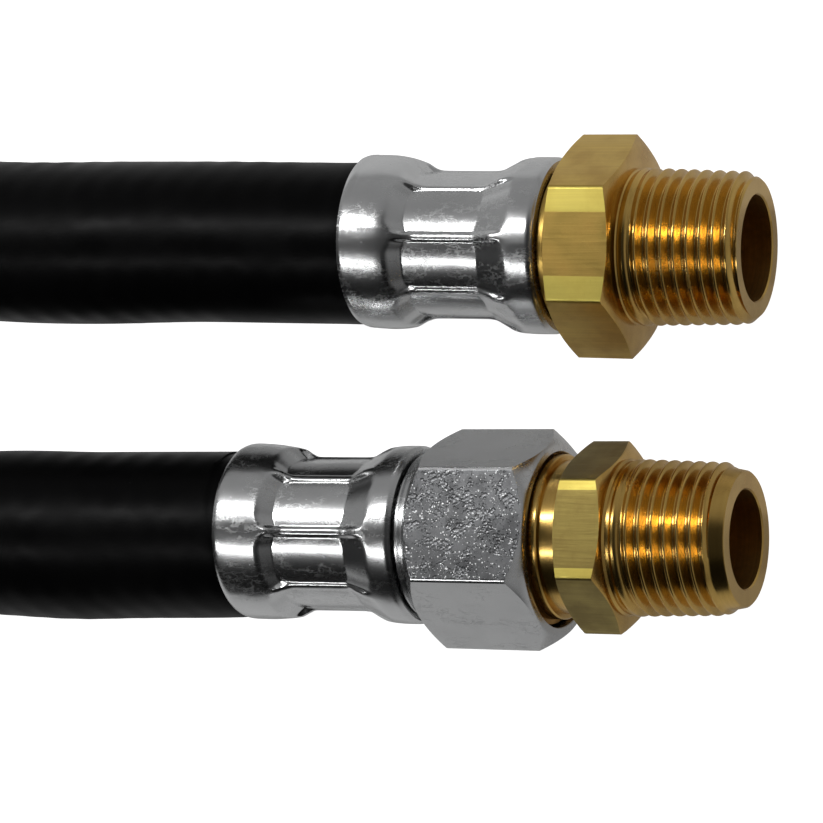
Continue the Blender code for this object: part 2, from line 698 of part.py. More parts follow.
def make_hose(look, fixed_frame, swivel_frame):
    """Hollow rubber hose along its route, squeezed inside both ferrules."""
    start = end_points(fixed_frame, FIXED_FERRULE_LENGTH)
    finish = end_points(swivel_frame, SWIVEL_FERRULE_LENGTH)
    finish.reverse()
    lead = Vector((-LEAD_LENGTH, 0, -LEAD_DROP))
    floor_route = [*HALF_ROUTE, LOOP_END] + [(x, -y, lift) for x, y, lift in reversed(HALF_ROUTE)]
    route = [start[-1][0], fixed_frame @ lead]
    route += [Vector((x, y, HOSE_RADIUS + lift)) for x, y, lift in floor_route]
    route += [swivel_frame @ lead, finish[0][0]]
    middle = smooth_route(route, HOSE_POINT_SPACING)
    points = start + [(place, HOSE_RADIUS) for place in middle[1:-1]] + finish
    hose = tube("hose", points, look)
    sides = 4 + 2 * HOSE_BEVEL_RESOLUTION
    bore_radius = HOSE_BORE_RADIUS / math.cos(math.pi / sides)
    first_way = (points[0][0] - points[1][0]).normalized() * HOSE_CUTTER_OVERRUN
    last_way = (points[-1][0] - points[-2][0]).normalized() * HOSE_CUTTER_OVERRUN
    inner = [(points[0][0] + first_way, bore_radius)]
    inner += [(place, bore_radius) for place, _ in points[1:-1]]
    inner += [(points[-1][0] + last_way, bore_radius)]
    bore = tube("hose_bore_cutter", inner, look)
    bore.hide_render = True
    bore.display_type = "WIRE"
    cut = hose.modifiers.new("bore", "BOOLEAN")
    cut.operation = "DIFFERENCE"
    cut.object = bore
    return hose


def main():
    """Build every piece and put it in its place."""
    clear_scene()
    rubber = material(*BLACK_RUBBER)
    zinc = material(*ZINC_PLATED_STEEL)
    brass = material(*BRASS)
    seal = material(*SEAL_RUBBER)
    fixed_frame = end_frame(FIXED_RIM, FIXED_AZIMUTH, FIXED_LIFT, FIXED_HEX_FLATS,
                            FIXED_HEX_TURN, FIXED_TOUCH)
    swivel_frame = end_frame(SWIVEL_RIM, SWIVEL_AZIMUTH, SWIVEL_LIFT, NUT_FLATS, NUT_TURN,
                             SWIVEL_TOUCH)
    fixed_pieces = [
        make_ferrule("fixed_ferrule", zinc, FIXED_BELL_RADIUS, FIXED_WAIST_RADIUS,
                     FIXED_SHOULDER_RADIUS, FIXED_WAIST_LENGTH, FIXED_FERRULE_LENGTH),
        make_fixed_fitting(brass),
    ]
    swivel_pieces = [
        make_ferrule("swivel_ferrule", zinc, SWIVEL_BELL_RADIUS, SWIVEL_WAIST_RADIUS,
                     SWIVEL_SHOULDER_RADIUS, SWIVEL_WAIST_LENGTH, SWIVEL_FERRULE_LENGTH),
        make_swivel_stem(zinc),
        make_swivel_nut(zinc),
        make_swivel_adapter(brass),
        make_seal_ring(seal),
    ]
    make_hose(rubber, fixed_frame, swivel_frame)
    for piece in fixed_pieces:
        piece.matrix_world = fixed_frame
    for piece in swivel_pieces:
        piece.matrix_world = swivel_frame


main()
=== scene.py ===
"""Dressed model of a rubber air hose with a fixed and a swivel male end.

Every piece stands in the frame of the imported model: metres, Z up, floor at z = 0.
Each end is built along its own +X axis, with x = 0 at the rim of its ferrule, and
angles round that axis start at +Z and grow towards +Y.
"""

from __future__ import annotations

import logging
import math
from collections.abc import Callable, Sequence
from dataclasses import dataclass, field
from enum import Enum, IntEnum

import bmesh
import bpy
from mathutils import Matrix, Vector, noise


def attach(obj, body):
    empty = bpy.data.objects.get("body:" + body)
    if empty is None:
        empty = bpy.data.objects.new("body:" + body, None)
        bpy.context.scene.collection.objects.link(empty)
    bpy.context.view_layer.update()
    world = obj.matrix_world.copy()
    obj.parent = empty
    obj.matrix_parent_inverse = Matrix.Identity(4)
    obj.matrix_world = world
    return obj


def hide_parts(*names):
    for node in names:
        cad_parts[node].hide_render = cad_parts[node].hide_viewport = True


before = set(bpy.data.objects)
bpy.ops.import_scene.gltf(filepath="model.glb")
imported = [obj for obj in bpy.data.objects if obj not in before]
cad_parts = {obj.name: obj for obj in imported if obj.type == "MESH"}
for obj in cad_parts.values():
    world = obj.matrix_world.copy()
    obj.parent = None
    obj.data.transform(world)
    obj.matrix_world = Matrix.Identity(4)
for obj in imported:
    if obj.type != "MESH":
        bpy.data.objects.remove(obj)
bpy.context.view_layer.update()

log = logging.getLogger("air_hose")

Colour = tuple[float, float, float]
Stretch = tuple[float, float, float]
Outline = tuple[tuple[float, float], ...]
Length = float | Callable[[float], float]
Slot = int | Callable[[float], int]

HOSE_BODY = "hose_assembly"
ADAPTER_BODY = "adapter"
SEAT_GAP = 0.0003
FULL_TURN = 2 * math.pi
HEX_TURN = math.pi / 3


class Facing(Enum):
    """How a brass surface was cut or has worn, which marks and tone follow; two tones are painted
    light.
    """

    TURNED = "turned"
    DRAWN = "drawn"
    # bore brass, darkened as painted shade in the bore and other hollows
    BORED_SHADE = "bored_shade"
    # brass painted brighter along two flats' margins: a painted highlight
    MARGIN = "margin"
    WORN = "worn"


class BrassSlot(IntEnum):
    """Material slots of a brass piece."""

    TURNED = 0
    FLAT = 1
    # darker brass as painted shade in the bore, the neck groove and the ring inside the nut's mouth
    SHADED_HOLLOW = 2
    # brass painted brighter along two flats' margins: a painted highlight
    MARGIN = 3


class NutSlot(IntEnum):
    """Material slots of the nut."""

    PLAIN = 0
    # dark grainy zinc with painted glints
    GRAINY = 1
    # near-white strip on the grainy flats' worn edges: a painted edge highlight
    BURR_HIGHLIGHT = 2


def smoothstep(low: float, high: float, value: float) -> float:
    """Smooth ramp from 0 at low to 1 at high."""
    part = min(max((value - low) / (high - low), 0.0), 1.0)
    return part * part * (3 - 2 * part)


def blend_down(first: float, second: float, width: float) -> float:
    """The smaller of two heights, rounded over where they cross.

    Args:
        first: One height.
        second: The other height.
        width: Difference of the heights within which they blend.

    Returns:
        The blended height.
    """
    gap = first - second
    if abs(gap) >= width:
        return min(first, second)
    return (first + second) / 2 - (gap * gap + width * width) / (4 * width)


def profile_value(points: Sequence[tuple[float, float]], at: float) -> float:
    """Height of a smooth curve through points that doesn't overshoot between them.

    Args:
        points: (place, value) pairs in rising order of place.
        at: Where the curve is read; before and after the points it stays level.

    Returns:
        The value of the curve there.
    """
    if at <= points[0][0]:
        return points[0][1]
    if at >= points[-1][0]:
        return points[-1][1]
    slopes = [(b[1] - a[1]) / (b[0] - a[0]) for a, b in zip(points, points[1:])]
    index = next(i for i in range(len(slopes)) if at <= points[i + 1][0])

    def tangent(i: int) -> float:
        """Slope of the curve at point i."""
        if i == 0 or i == len(slopes) or slopes[i - 1] * slopes[i] <= 0:
            return 0.0
        return 2 * slopes[i - 1] * slopes[i] / (slopes[i - 1] + slopes[i])

    (x0, y0), (x1, y1) = points[index], points[index + 1]
    span = x1 - x0
    t = (at - x0) / span
    return (
        y0 * (1 + 2 * t) * (1 - t) ** 2
        + tangent(index) * span * t * (1 - t) ** 2
        + y1 * t * t * (3 - 2 * t)
        + tangent(index + 1) * span * t * t * (t - 1)
    )


# Shader bench and shared effects


@dataclass
class ShaderBench:
    """Places and joins nodes in one node tree."""

    tree: bpy.types.NodeTree

    def place(self, kind: str, settings: dict[str, object] | None = None,
              **sockets: object) -> bpy.types.Node:
        """Add a node.

        Args:
            kind: Type name of the node, without "ShaderNode".
            settings: Properties of the node itself.
            sockets: Value or output socket for each input, with _ for a space.

        Returns:
            The new node.
        """
        made = self.tree.nodes.new("ShaderNode" + kind)
        for key, value in (settings or {}).items():
            setattr(made, key, value)
        for key, value in sockets.items():
            self.feed(made.inputs[key.replace("_", " ")], value)
        return made

    def feed(self, socket: bpy.types.NodeSocket, value: object) -> None:
        """Link an output to an input, or set the input's own value.

        Args:
            socket: The input.
            value: An output socket or a value.
        """
        if isinstance(value, bpy.types.NodeSocket):
            self.tree.links.new(value, socket)
        else:
            socket.default_value = value

    def math(self, operation: str, *values: object) -> bpy.types.NodeSocket:
        """Add a Math node and return its result.

        Args:
            operation: What the node does.
            values: Value or output socket for each input.

        Returns:
            The result.
        """
        made = self.place("Math", {"operation": operation})
        for socket, value in zip(made.inputs, values):
            self.feed(socket, value)
        return made.outputs[0]

    def share(self, value: object, amount: float) -> bpy.types.NodeSocket:
        """Multiply a value by a fixed amount."""
        return self.math("MULTIPLY", value, amount)

    def spread(self, value: object, low: float, high: float, out_low: float = 0.0,
               out_high: float = 1.0) -> bpy.types.NodeSocket:
        """Map a value smoothly from low..high to out_low..out_high.

        Args:
            value: What is mapped.
            low: Value that gives out_low.
            high: Value that gives out_high.
            out_low: Result up to low.
            out_high: Result from high on.

        Returns:
            The mapped value.
        """
        made = self.place("MapRange", {"interpolation_type": "SMOOTHSTEP"})
        for socket, given in zip(made.inputs, (value, low, high, out_low, out_high)):
            self.feed(socket, given)
        return made.outputs["Result"]

    def blend(self, part: object, first: object, second: object) -> bpy.types.NodeSocket:
        """Mix two colours by part.

        Args:
            part: How much of the second colour is mixed in, from 0 to 1.
            first: Colour at 0.
            second: Colour at 1.

        Returns:
            The mixed colour.
        """
        made = self.place("Mix", {"data_type": "RGBA"})
        self.feed(made.inputs["Factor"], part)
        self.feed(made.inputs["A"], first)
        self.feed(made.inputs["B"], second)
        return made.outputs["Result"]

    def stretch(self, vector: object, scale: Stretch) -> bpy.types.NodeSocket:
        """Scale a coordinate by a different amount along each axis.

        Args:
            vector: The coordinate.
            scale: Factor along each axis.

        Returns:
            The scaled coordinate.
        """
        made = self.place("VectorMath", {"operation": "MULTIPLY"})
        self.feed(made.inputs[0], vector)
        self.feed(made.inputs[1], scale)
        return made.outputs[0]

    def cells(self, vector: object, scale: float) -> bpy.types.NodeSocket:
        """Distance to the middle of scattered cells."""
        made = self.place("TexVoronoi", {"feature": "F1"}, Vector=vector, Scale=scale)
        return made.outputs["Distance"]

    def cloud(self, vector: object, scale: object, detail: float = 3.0,
              roughness: float = 0.55) -> bpy.types.NodeSocket:
        """Soft noise between 0 and 1.

        Args:
            vector: The coordinate.
            scale: Cloud cells a metre.
            detail: How many finer layers are added.
            roughness: How strong the finer layers are.

        Returns:
            The noise.
        """
        made = self.place("TexNoise", None, Vector=vector, Scale=scale, Detail=detail,
                          Roughness=roughness)
        return made.outputs["Fac"]

    def bump(self, shader: bpy.types.Node, height: object, depth: float,
             strength: float = 1.0) -> None:
        """Feed a height, worth depth metres, to the shader's Normal."""
        made = self.place("Bump", None, Strength=strength, Distance=depth, Height=height)
        self.feed(shader.inputs["Normal"], made.outputs["Normal"])


def rgba(colour: Colour) -> tuple[float, float, float, float]:
    """Add the alpha that a colour socket wants."""
    return (*colour, 1.0)


class SharedEffects:
    """Node groups that more than one finish uses, each made once."""

    def __init__(self) -> None:
        """Make every group."""
        self.smudge = self._smudge()
        self.pits = self._pits()
        self.scratches = self._scratches()

    @staticmethod
    def _group(name: str, inputs: dict[str, float | None],
               outputs: Sequence[str]) -> tuple[ShaderBench, bpy.types.Node, bpy.types.Node]:
        """Make a group with its named sockets.

        Args:
            name: Name of the group.
            inputs: Default of each value input; None marks a vector input.
            outputs: Names of the value outputs.

        Returns:
            A bench for the group, its input node and its output node.
        """
        tree = bpy.data.node_groups.new(name, "ShaderNodeTree")
        for label, default in inputs.items():
            kind = "NodeSocketVector" if default is None else "NodeSocketFloat"
            made = tree.interface.new_socket(label, in_out="INPUT", socket_type=kind)
            if default is not None:
                made.default_value = default
        for label in outputs:
            tree.interface.new_socket(label, in_out="OUTPUT", socket_type="NodeSocketFloat")
        bench = ShaderBench(tree)
        return bench, tree.nodes.new("NodeGroupInput"), tree.nodes.new("NodeGroupOutput")

    def _smudge(self) -> bpy.types.NodeTree:
        """Cloudy handling marks: a soft mask that varies over some millimetres.

        Returns:
            The group, with its mask.
        """
        bench, source, sink = self._group("handling_smudge", {"Vector": None, "Scale": 220.0},
                                          ["Mask"])
        broad = bench.cloud(source.outputs["Vector"], source.outputs["Scale"], 4.0, 0.6)
        bench.feed(sink.inputs["Mask"], bench.spread(broad, 0.35, 0.68))
        return bench.tree

    def _pits(self) -> bpy.types.NodeTree:
        """Small round pits at scattered places, as a mask and as a height.

        Returns:
            The group, with its mask and its height.
        """
        bench, source, sink = self._group(
            "small_pits", {"Vector": None, "Scale": 2000.0, "Size": 0.2, "Patches": 300.0},
            ["Mask", "Height"])
        near = bench.cells(source.outputs["Vector"], source.outputs["Scale"])
        patch = bench.cloud(source.outputs["Vector"], source.outputs["Patches"], 2.0)
        crowding = bench.spread(patch, 0.4, 0.75, 0.25, 1.6)
        reach = bench.math("MULTIPLY", source.outputs["Size"], crowding)
        away = bench.math("MINIMUM", 1.0, bench.math("DIVIDE", near, reach))
        inside = bench.math("SUBTRACT", 1.0, away)
        bench.feed(sink.inputs["Mask"], inside)
        bench.feed(sink.inputs["Height"], bench.math("SUBTRACT", 1.0, bench.math("SQRT", inside)))
        return bench.tree

    def _scratches(self) -> bpy.types.NodeTree:
        """Thin broken lines along the axis on which the given coordinate changes least.

        Returns:
            The group, with its mask and its height.
        """
        bench, source, sink = self._group("thin_scratches", {"Vector": None, "Scale": 1.0},
                                          ["Mask", "Height"])
        lines = bench.cloud(source.outputs["Vector"], source.outputs["Scale"], 5.0, 0.65)
        broad = bench.share(source.outputs["Scale"], 0.31)
        gate = bench.cloud(source.outputs["Vector"], broad, 2.0)
        off_line = bench.math("ABSOLUTE", bench.math("SUBTRACT", lines, 0.5))
        thin = bench.spread(off_line, 0.0, 0.035, 1.0, 0.0)
        bench.feed(sink.inputs["Mask"], bench.math("MULTIPLY", thin, bench.spread(gate, 0.45, 0.62)))
        bench.feed(sink.inputs["Height"], lines)
        return bench.tree


# Finishes


def new_material(name: str) -> tuple[bpy.types.Material, ShaderBench, bpy.types.Node]:
    """Make a material with its Principled shader.

    Args:
        name: Name of the material.

    Returns:
        The material, a bench for its nodes and the shader.
    """
    made = bpy.data.materials.new(name)
    made.use_nodes = True
    return made, ShaderBench(made.node_tree), made.node_tree.nodes["Principled BSDF"]


def place_group(bench: ShaderBench, group: bpy.types.NodeTree, **sockets: object) -> bpy.types.Node:
    """Place a shared effect with its own values.

    Args:
        bench: Bench of the material.
        group: The shared effect.
        sockets: Value or output socket for each input.

    Returns:
        The node that holds the group.
    """
    made = bench.tree.nodes.new("ShaderNodeGroup")
    made.node_tree = group
    for key, value in sockets.items():
        bench.feed(made.inputs[key], value)
    return made


@dataclass(frozen=True)
class BrassFinish:
    """Bare machined brass: lathe rings where turned, long streaks on the bar's flats."""

    facing: Facing
    colour: Colour = (0.72, 0.47, 0.135)
    dull_colour: Colour = (0.50, 0.30, 0.08)
    pit_colour: Colour = (0.14, 0.08, 0.03)
    roughness: float = 0.20
    smudge_roughness: float = 0.08
    mark_depth: float = 0.000002
    smudge_tone: float = 0.55
    streak_tone: float = 0.35
    pit_tone: float = 0.7
    pit_height: float = 0.6
    ring_stretch: Stretch = (3200.0, 30.0, 30.0)
    streak_stretch: Stretch = (60.0, 2600.0, 2600.0)

    @property
    def stretch(self) -> Stretch:
        """Stretch of the marks: rings of a lathe, or streaks along the bar."""
        lathed = self.facing in (Facing.TURNED, Facing.BORED_SHADE)
        return self.ring_stretch if lathed else self.streak_stretch

    def material(self, effects: SharedEffects) -> bpy.types.Material:
        """Make the material.

        Args:
            effects: Shared node groups.

        Returns:
            The material.
        """
        made, bench, shader = new_material("brass_" + self.facing.value)
        coordinate = bench.place("TexCoord").outputs["Object"]
        marks = place_group(bench, effects.scratches,
                            Vector=bench.stretch(coordinate, self.stretch), Scale=1.0)
        smudge = place_group(bench, effects.smudge, Vector=coordinate, Scale=190.0)
        pits = place_group(bench, effects.pits, Vector=coordinate, Scale=1500.0, Size=0.09,
                           Patches=260.0)
        dull = rgba(self.dull_colour)
        tone = bench.blend(bench.share(smudge.outputs["Mask"], self.smudge_tone),
                           rgba(self.colour), dull)
        streaked = bench.blend(
            bench.spread(marks.outputs["Height"], 0.3, 0.7, 0.0, self.streak_tone), tone, dull)
        pitted = bench.blend(bench.share(pits.outputs["Mask"], self.pit_tone), streaked,
                             rgba(self.pit_colour))
        bench.feed(shader.inputs["Base Color"], pitted)
        shader.inputs["Metallic"].default_value = 1.0
        rough = bench.math("ADD", self.roughness,
                           bench.share(smudge.outputs["Mask"], self.smudge_roughness))
        bench.feed(shader.inputs["Roughness"], rough)
        height = bench.math("ADD", marks.outputs["Height"],
                            bench.share(pits.outputs["Height"], self.pit_height))
        bench.bump(shader, height, self.mark_depth)
        return made


@dataclass(frozen=True)
class ZincFinish:
    """Bright zinc plating over pressed or turned steel, scuffed and lightly pitted."""

    name: str = "zinc_plating"
    colour: Colour = (0.62, 0.625, 0.628)
    dull_colour: Colour = (0.50, 0.505, 0.508)
    pit_colour: Colour = (0.2, 0.2, 0.2)
    roughness: float = 0.235
    scuff_roughness: float = 0.18
    scuff_depth: float = 0.000007
    scuff_height: float = 0.7
    scuff_stretch: Stretch = (420.0, 900.0, 900.0)
    smudge_tone: float = 0.35
    pit_tone: float = 0.5
    pit_size: float = 0.09

    def material(self, effects: SharedEffects) -> bpy.types.Material:
        """Make the material.

        Args:
            effects: Shared node groups.

        Returns:
            The material.
        """
        made, bench, shader = new_material(self.name)
        coordinate = bench.place("TexCoord").outputs["Object"]
        smudge = place_group(bench, effects.smudge, Vector=coordinate, Scale=170.0)
        scuff = place_group(bench, effects.scratches,
                            Vector=bench.stretch(coordinate, self.scuff_stretch), Scale=1.0)
        pits = place_group(bench, effects.pits, Vector=coordinate, Scale=1900.0,
                           Size=self.pit_size, Patches=330.0)
        tone = bench.blend(bench.share(smudge.outputs["Mask"], self.smudge_tone),
                           rgba(self.colour), rgba(self.dull_colour))
        pitted = bench.blend(bench.share(pits.outputs["Mask"], self.pit_tone), tone,
                             rgba(self.pit_colour))
        bench.feed(shader.inputs["Base Color"], pitted)
        shader.inputs["Metallic"].default_value = 1.0
        rough = bench.math("ADD", self.roughness,
                           bench.share(scuff.outputs["Mask"], self.scuff_roughness))
        bench.feed(shader.inputs["Roughness"], rough)
        height = bench.math("ADD", bench.share(scuff.outputs["Height"], self.scuff_height),
                            pits.outputs["Height"])
        bench.bump(shader, height, self.scuff_depth)
        return made


@dataclass(frozen=True)
class GrainyGlintFinish:
    """Thick grainy zinc on the nut's wrench flats, dark, with tiny bright points painted in as
    glints.
    """

    colour: Colour = (0.13, 0.132, 0.135)
    dull_colour: Colour = (0.075, 0.076, 0.078)
    # near-white points painted in as glints
    glint_colour: Colour = (0.95, 0.96, 0.96)
    roughness: float = 0.34
    glint_roughness: float = 0.1
    glint_metal: float = 0.35
    grain_depth: float = 0.00006

    def material(self, effects: SharedEffects) -> bpy.types.Material:
        """Make the material.

        Args:
            effects: Shared node groups.

        Returns:
            The material.
        """
        made, bench, shader = new_material("zinc_grainy_glint_flat")
        coordinate = bench.place("TexCoord").outputs["Object"]
        grain = place_group(bench, effects.pits, Vector=coordinate, Scale=2300.0, Size=0.7,
                            Patches=500.0)
        points = place_group(bench, effects.pits, Vector=coordinate, Scale=3100.0, Size=0.42,
                             Patches=1500.0)
        smudge = place_group(bench, effects.smudge, Vector=coordinate, Scale=330.0)
        tone = bench.blend(smudge.outputs["Mask"], rgba(self.colour), rgba(self.dull_colour))
        # mask of the painted glints
        bright = bench.spread(points.outputs["Mask"], 0.25, 0.6)
        bench.feed(shader.inputs["Base Color"], bench.blend(bright, tone, rgba(self.glint_colour)))
        bench.feed(shader.inputs["Metallic"], bench.spread(bright, 0.0, 1.0, 1.0, self.glint_metal))
        bench.feed(shader.inputs["Roughness"],
                   bench.math("ADD", self.roughness, bench.share(bright, self.glint_roughness)))
        bench.bump(shader, grain.outputs["Height"], self.grain_depth)
        return made


@dataclass(frozen=True)
class RubberFinish:
    """Black rubber cover with a faint sheen, dust specks and a fine grain."""

    name: str = "black_rubber"
    colour: Colour = (0.0018, 0.0018, 0.0019)
    dusty_colour: Colour = (0.02, 0.02, 0.019)
    roughness: float = 0.30
    smudge_roughness: float = 0.12
    gloss: float = 0.045
    grain_scale: float = 2400.0
    grain_depth: float = 0.00002

    def material(self, effects: SharedEffects) -> bpy.types.Material:
        """Make the material.

        Args:
            effects: Shared node groups.

        Returns:
            The material.
        """
        made, bench, shader = new_material(self.name)
        coordinate = bench.place("TexCoord").outputs["Object"]
        smudge = place_group(bench, effects.smudge, Vector=coordinate, Scale=90.0)
        specks = place_group(bench, effects.pits, Vector=coordinate, Scale=420.0, Size=0.05,
                             Patches=60.0)
        dust = bench.blend(bench.spread(specks.outputs["Mask"], 0.1, 0.6), rgba(self.colour),
                           rgba(self.dusty_colour))
        bench.feed(shader.inputs["Base Color"], dust)
        shader.inputs["Specular IOR Level"].default_value = self.gloss
        rough = bench.math("ADD", self.roughness,
                           bench.share(smudge.outputs["Mask"], self.smudge_roughness))
        bench.feed(shader.inputs["Roughness"], rough)
        bench.bump(shader, bench.cloud(coordinate, self.grain_scale), self.grain_depth, 0.5)
        return made


TURNED_BRASS = BrassFinish(Facing.TURNED)
DRAWN_BRASS = BrassFinish(Facing.DRAWN, colour=(0.72, 0.50, 0.13), roughness=0.32,
                          mark_depth=0.000016)
# Darker brass in the bore, the neck groove and the ring inside the nut's mouth: painted shade in
# these hollows.
BORED_SHADE_BRASS = BrassFinish(Facing.BORED_SHADE, colour=(0.62, 0.36, 0.10), dull_colour=(0.26, 0.14, 0.04),
                          roughness=0.42)
# Brighter brass along two opposite flats' margins: a painted highlight.
MARGIN_HIGHLIGHT_BRASS = BrassFinish(Facing.MARGIN, colour=(0.77, 0.64, 0.155),
                           dull_colour=(0.60, 0.46, 0.10), roughness=0.42)
WORN_BRASS = BrassFinish(Facing.WORN, colour=(0.37, 0.285, 0.085),
                         dull_colour=(0.20, 0.14, 0.045), roughness=0.36, mark_depth=0.000016)
# Near-white zinc along the grainy flats' worn edges: a painted edge highlight.
BURR_HIGHLIGHT_ZINC = ZincFinish(name="zinc_burr_highlight", colour=(0.95, 0.95, 0.95), dull_colour=(0.60, 0.60, 0.60),
                       roughness=0.3, scuff_depth=0.00004)
SEAL_RUBBER = RubberFinish(name="seal_rubber", roughness=0.5)


# Mesh bench


def link_object(name: str, data: bpy.types.ID) -> bpy.types.Object:
    """Make an object and put it in the scene.

    Args:
        name: Name of the object.
        data: Its mesh, light or camera.

    Returns:
        The object.
    """
    made = bpy.data.objects.new(name, data)
    bpy.context.scene.collection.objects.link(made)
    return made


def join_rings(bm: bmesh.types.BMesh, first: Sequence[bmesh.types.BMVert],
               second: Sequence[bmesh.types.BMVert]) -> list[bmesh.types.BMFace]:
    """Join two rings by a band of quads, one for each corner of the first.

    Args:
        bm: Mesh that gets the faces.
        first: Corners of one ring.
        second: Corners of the other ring, in the same order.

    Returns:
        The new faces.
    """
    count = len(first)
    made = []
    for index in range(count):
        after = (index + 1) % count
        made.append(bm.faces.new((first[index], first[after], second[after], second[index])))
    return made


def finish_piece(bm: bmesh.types.BMesh, name: str, looks: Sequence[bpy.types.Material],
                 placed: Matrix, sharp: float) -> bpy.types.Object:
    """Turn a mesh bench's work into an object.

    Args:
        bm: Faces of the piece, which are used up.
        name: Name of the piece.
        looks: Its materials, by slot.
        placed: Matrix that puts it in its place.
        sharp: Angle in degrees above which an edge stays crisp.

    Returns:
        The piece.
    """
    bmesh.ops.recalc_face_normals(bm, faces=bm.faces)
    mesh = bpy.data.meshes.new(name)
    bm.to_mesh(mesh)
    bm.free()
    mesh.transform(placed)
    for look in looks:
        mesh.materials.append(look)
    mesh.shade_smooth()
    mesh.set_sharp_from_angle(angle=math.radians(sharp))
    return link_object(name, mesh)


def even_angles(count: int) -> list[float]:
    """Angles of evenly spaced columns."""
    return [FULL_TURN * index / count for index in range(count)]


@dataclass
class RoundSkin:
    """Skin laid round the +X axis, one ring of corners after another."""

    angles: Sequence[float]
    bm: bmesh.types.BMesh = field(default_factory=bmesh.new)
    rings: list[list[bmesh.types.BMVert]] = field(default_factory=list)

    def ring(self, x: Length, radius: Length, slot: Slot = 0, side: float = 0.0) -> None:
        """Add a ring.

        Args:
            x: Place along the axis, or a function of the angle.
            radius: Radius, or a function of the angle.
            slot: Material of the band that leads to the ring, or a function of the angle.
            side: How far the ring's middle lies to the axis's +Y side.
        """
        verts = []
        for angle in self.angles:
            along = x(angle) if callable(x) else x
            r = radius(angle) if callable(radius) else radius
            spot = (along, side + r * math.sin(angle), r * math.cos(angle))
            verts.append(self.bm.verts.new(spot))
        self.take(verts, slot)

    def lay(self, outline: Outline, slot: Slot = 0, start: float = 0.0, base: float = 0.0) -> None:
        """Add a ring for each point of an outline.

        Args:
            outline: Place and radius of each ring, measured from start and base.
            slot: Material of the bands that lead to the rings.
            start: Place on the axis where the outline begins.
            base: Radius that the outline's radii are added to.
        """
        for x, radius in outline:
            self.ring(start + x, base + radius, slot)

    def take(self, verts: list[bmesh.types.BMVert], slot: Slot = 0, joined: bool = True) -> None:
        """Take a ring that is made already, joined by a band to the last one.

        Args:
            verts: Corners of the ring.
            slot: Material of the band that leads to it.
            joined: Whether a band joins it to the ring before.
        """
        if self.rings and joined:
            self._band(self.rings[-1], verts, slot)
        self.rings.append(verts)

    def _band(self, first: list[bmesh.types.BMVert], second: list[bmesh.types.BMVert],
              slot: Slot) -> None:
        """Join two rings and give each face its material.

        Args:
            first: Corners of one ring.
            second: Corners of the other.
            slot: Material of the faces, or a function of the angle.
        """
        after = [*self.angles[1:], self.angles[0] + FULL_TURN]
        for face, start, end in zip(join_rings(self.bm, first, second), self.angles, after):
            face.material_index = slot((start + end) / 2) if callable(slot) else slot

    def close(self) -> None:
        """Join the last ring to the first."""
        self._band(self.rings[-1], self.rings[0], 0)

    def finish(self, name: str, looks: Sequence[bpy.types.Material],
               placed: Matrix) -> bpy.types.Object:
        """Turn the skin into an object, in the place that the matrix gives.

        Args:
            name: Name of the piece.
            looks: Its materials, by slot.
            placed: Matrix that puts the end's own axis in its place.

        Returns:
            The piece.
        """
        return finish_piece(self.bm, name, looks, placed, sharp=35.0)


@dataclass(frozen=True)
class Hexagon:
    """Outline of a hexagon with broken corners; drawn bar has flats with sloping margins."""

    flats: float
    turn: float
    crown: float = 0.0
    # Part of the way across a flat where the crown and the painted highlight begin.
    margin: float = 0.6
    corner_break: float = 0.00011
    corner_column: float = 0.012
    face_drop: float = 0.00012
    columns_a_side: int = 24

    @property
    def corner(self) -> float:
        """Radius at the corners."""
        return self.flats / 2 / math.cos(HEX_TURN / 2) - self.corner_break

    def angles(self) -> list[float]:
        """Angles of the columns, from the underside on, with two beside each corner.

        Returns:
            The angles, in rising order.
        """
        edge = math.acos(self.flats / 2 / self.corner)
        inner = edge - self.corner_column
        made = []
        for side in range(3, 9):
            middle = self.turn + side * HEX_TURN
            made += [middle - HEX_TURN / 2, middle - edge, middle - inner]
            for step in range(1, self.columns_a_side):
                part = -1 + 2 * step / self.columns_a_side
                made.append(middle + math.atan(math.tan(inner) * part))
            made += [middle + inner, middle + edge]
        return made

    def _off(self, angle: float) -> float:
        """Angle from the middle of the nearest flat."""
        return (angle - self.turn + HEX_TURN / 2) % HEX_TURN - HEX_TURN / 2

    def across(self, angle: float) -> float:
        """Part of the way from the middle of a flat to its corner."""
        return abs(math.tan(self._off(angle))) / math.tan(HEX_TURN / 2)

    def radius(self, angle: float) -> float:
        """Radius of the outline at an angle."""
        drop = self.crown * max(0.0, (self.across(angle) - self.margin) / (1 - self.margin))
        return min(self.flats / 2 / math.cos(self._off(angle)), self.corner) - drop

    def flat_look(self, angle: float) -> BrassSlot:
        """Slot of a brass flat: two opposite flats get a painted highlight, margins brighter than
        the middle.

        Args:
            angle: Angle round the axis.

        Returns:
            The slot.
        """
        side = round((angle - self.turn) / HEX_TURN)
        on_highlight_margin = side % 3 == 0 and self.across(angle) > self.margin
        return BrassSlot.MARGIN if on_highlight_margin else BrassSlot.FLAT

    def wrap(self, skin: RoundSkin, start: float, end: float, back: float, front: float,
             slot: Slot) -> None:
        """Lay the hexagon between two faces, chamfered by back and front at its corners.

        Args:
            skin: Skin that gets the rings.
            start: x of the back face.
            end: x of the front face.
            back: Length of the back chamfer at the corners.
            front: Length of the front chamfer at the corners.
            slot: Material of the flats.
        """
        face_radius = self.flats / 2 - self.face_drop
        reach = self.corner - face_radius

        def share(angle: float) -> float:
            """Part of the chamfer that the outline takes at an angle."""
            return (self.radius(angle) - face_radius) / reach

        skin.ring(start, face_radius)
        skin.ring(lambda a: start + back * share(a), self.radius)
        skin.ring(lambda a: end - front * share(a), self.radius, slot)
        skin.ring(end, face_radius)


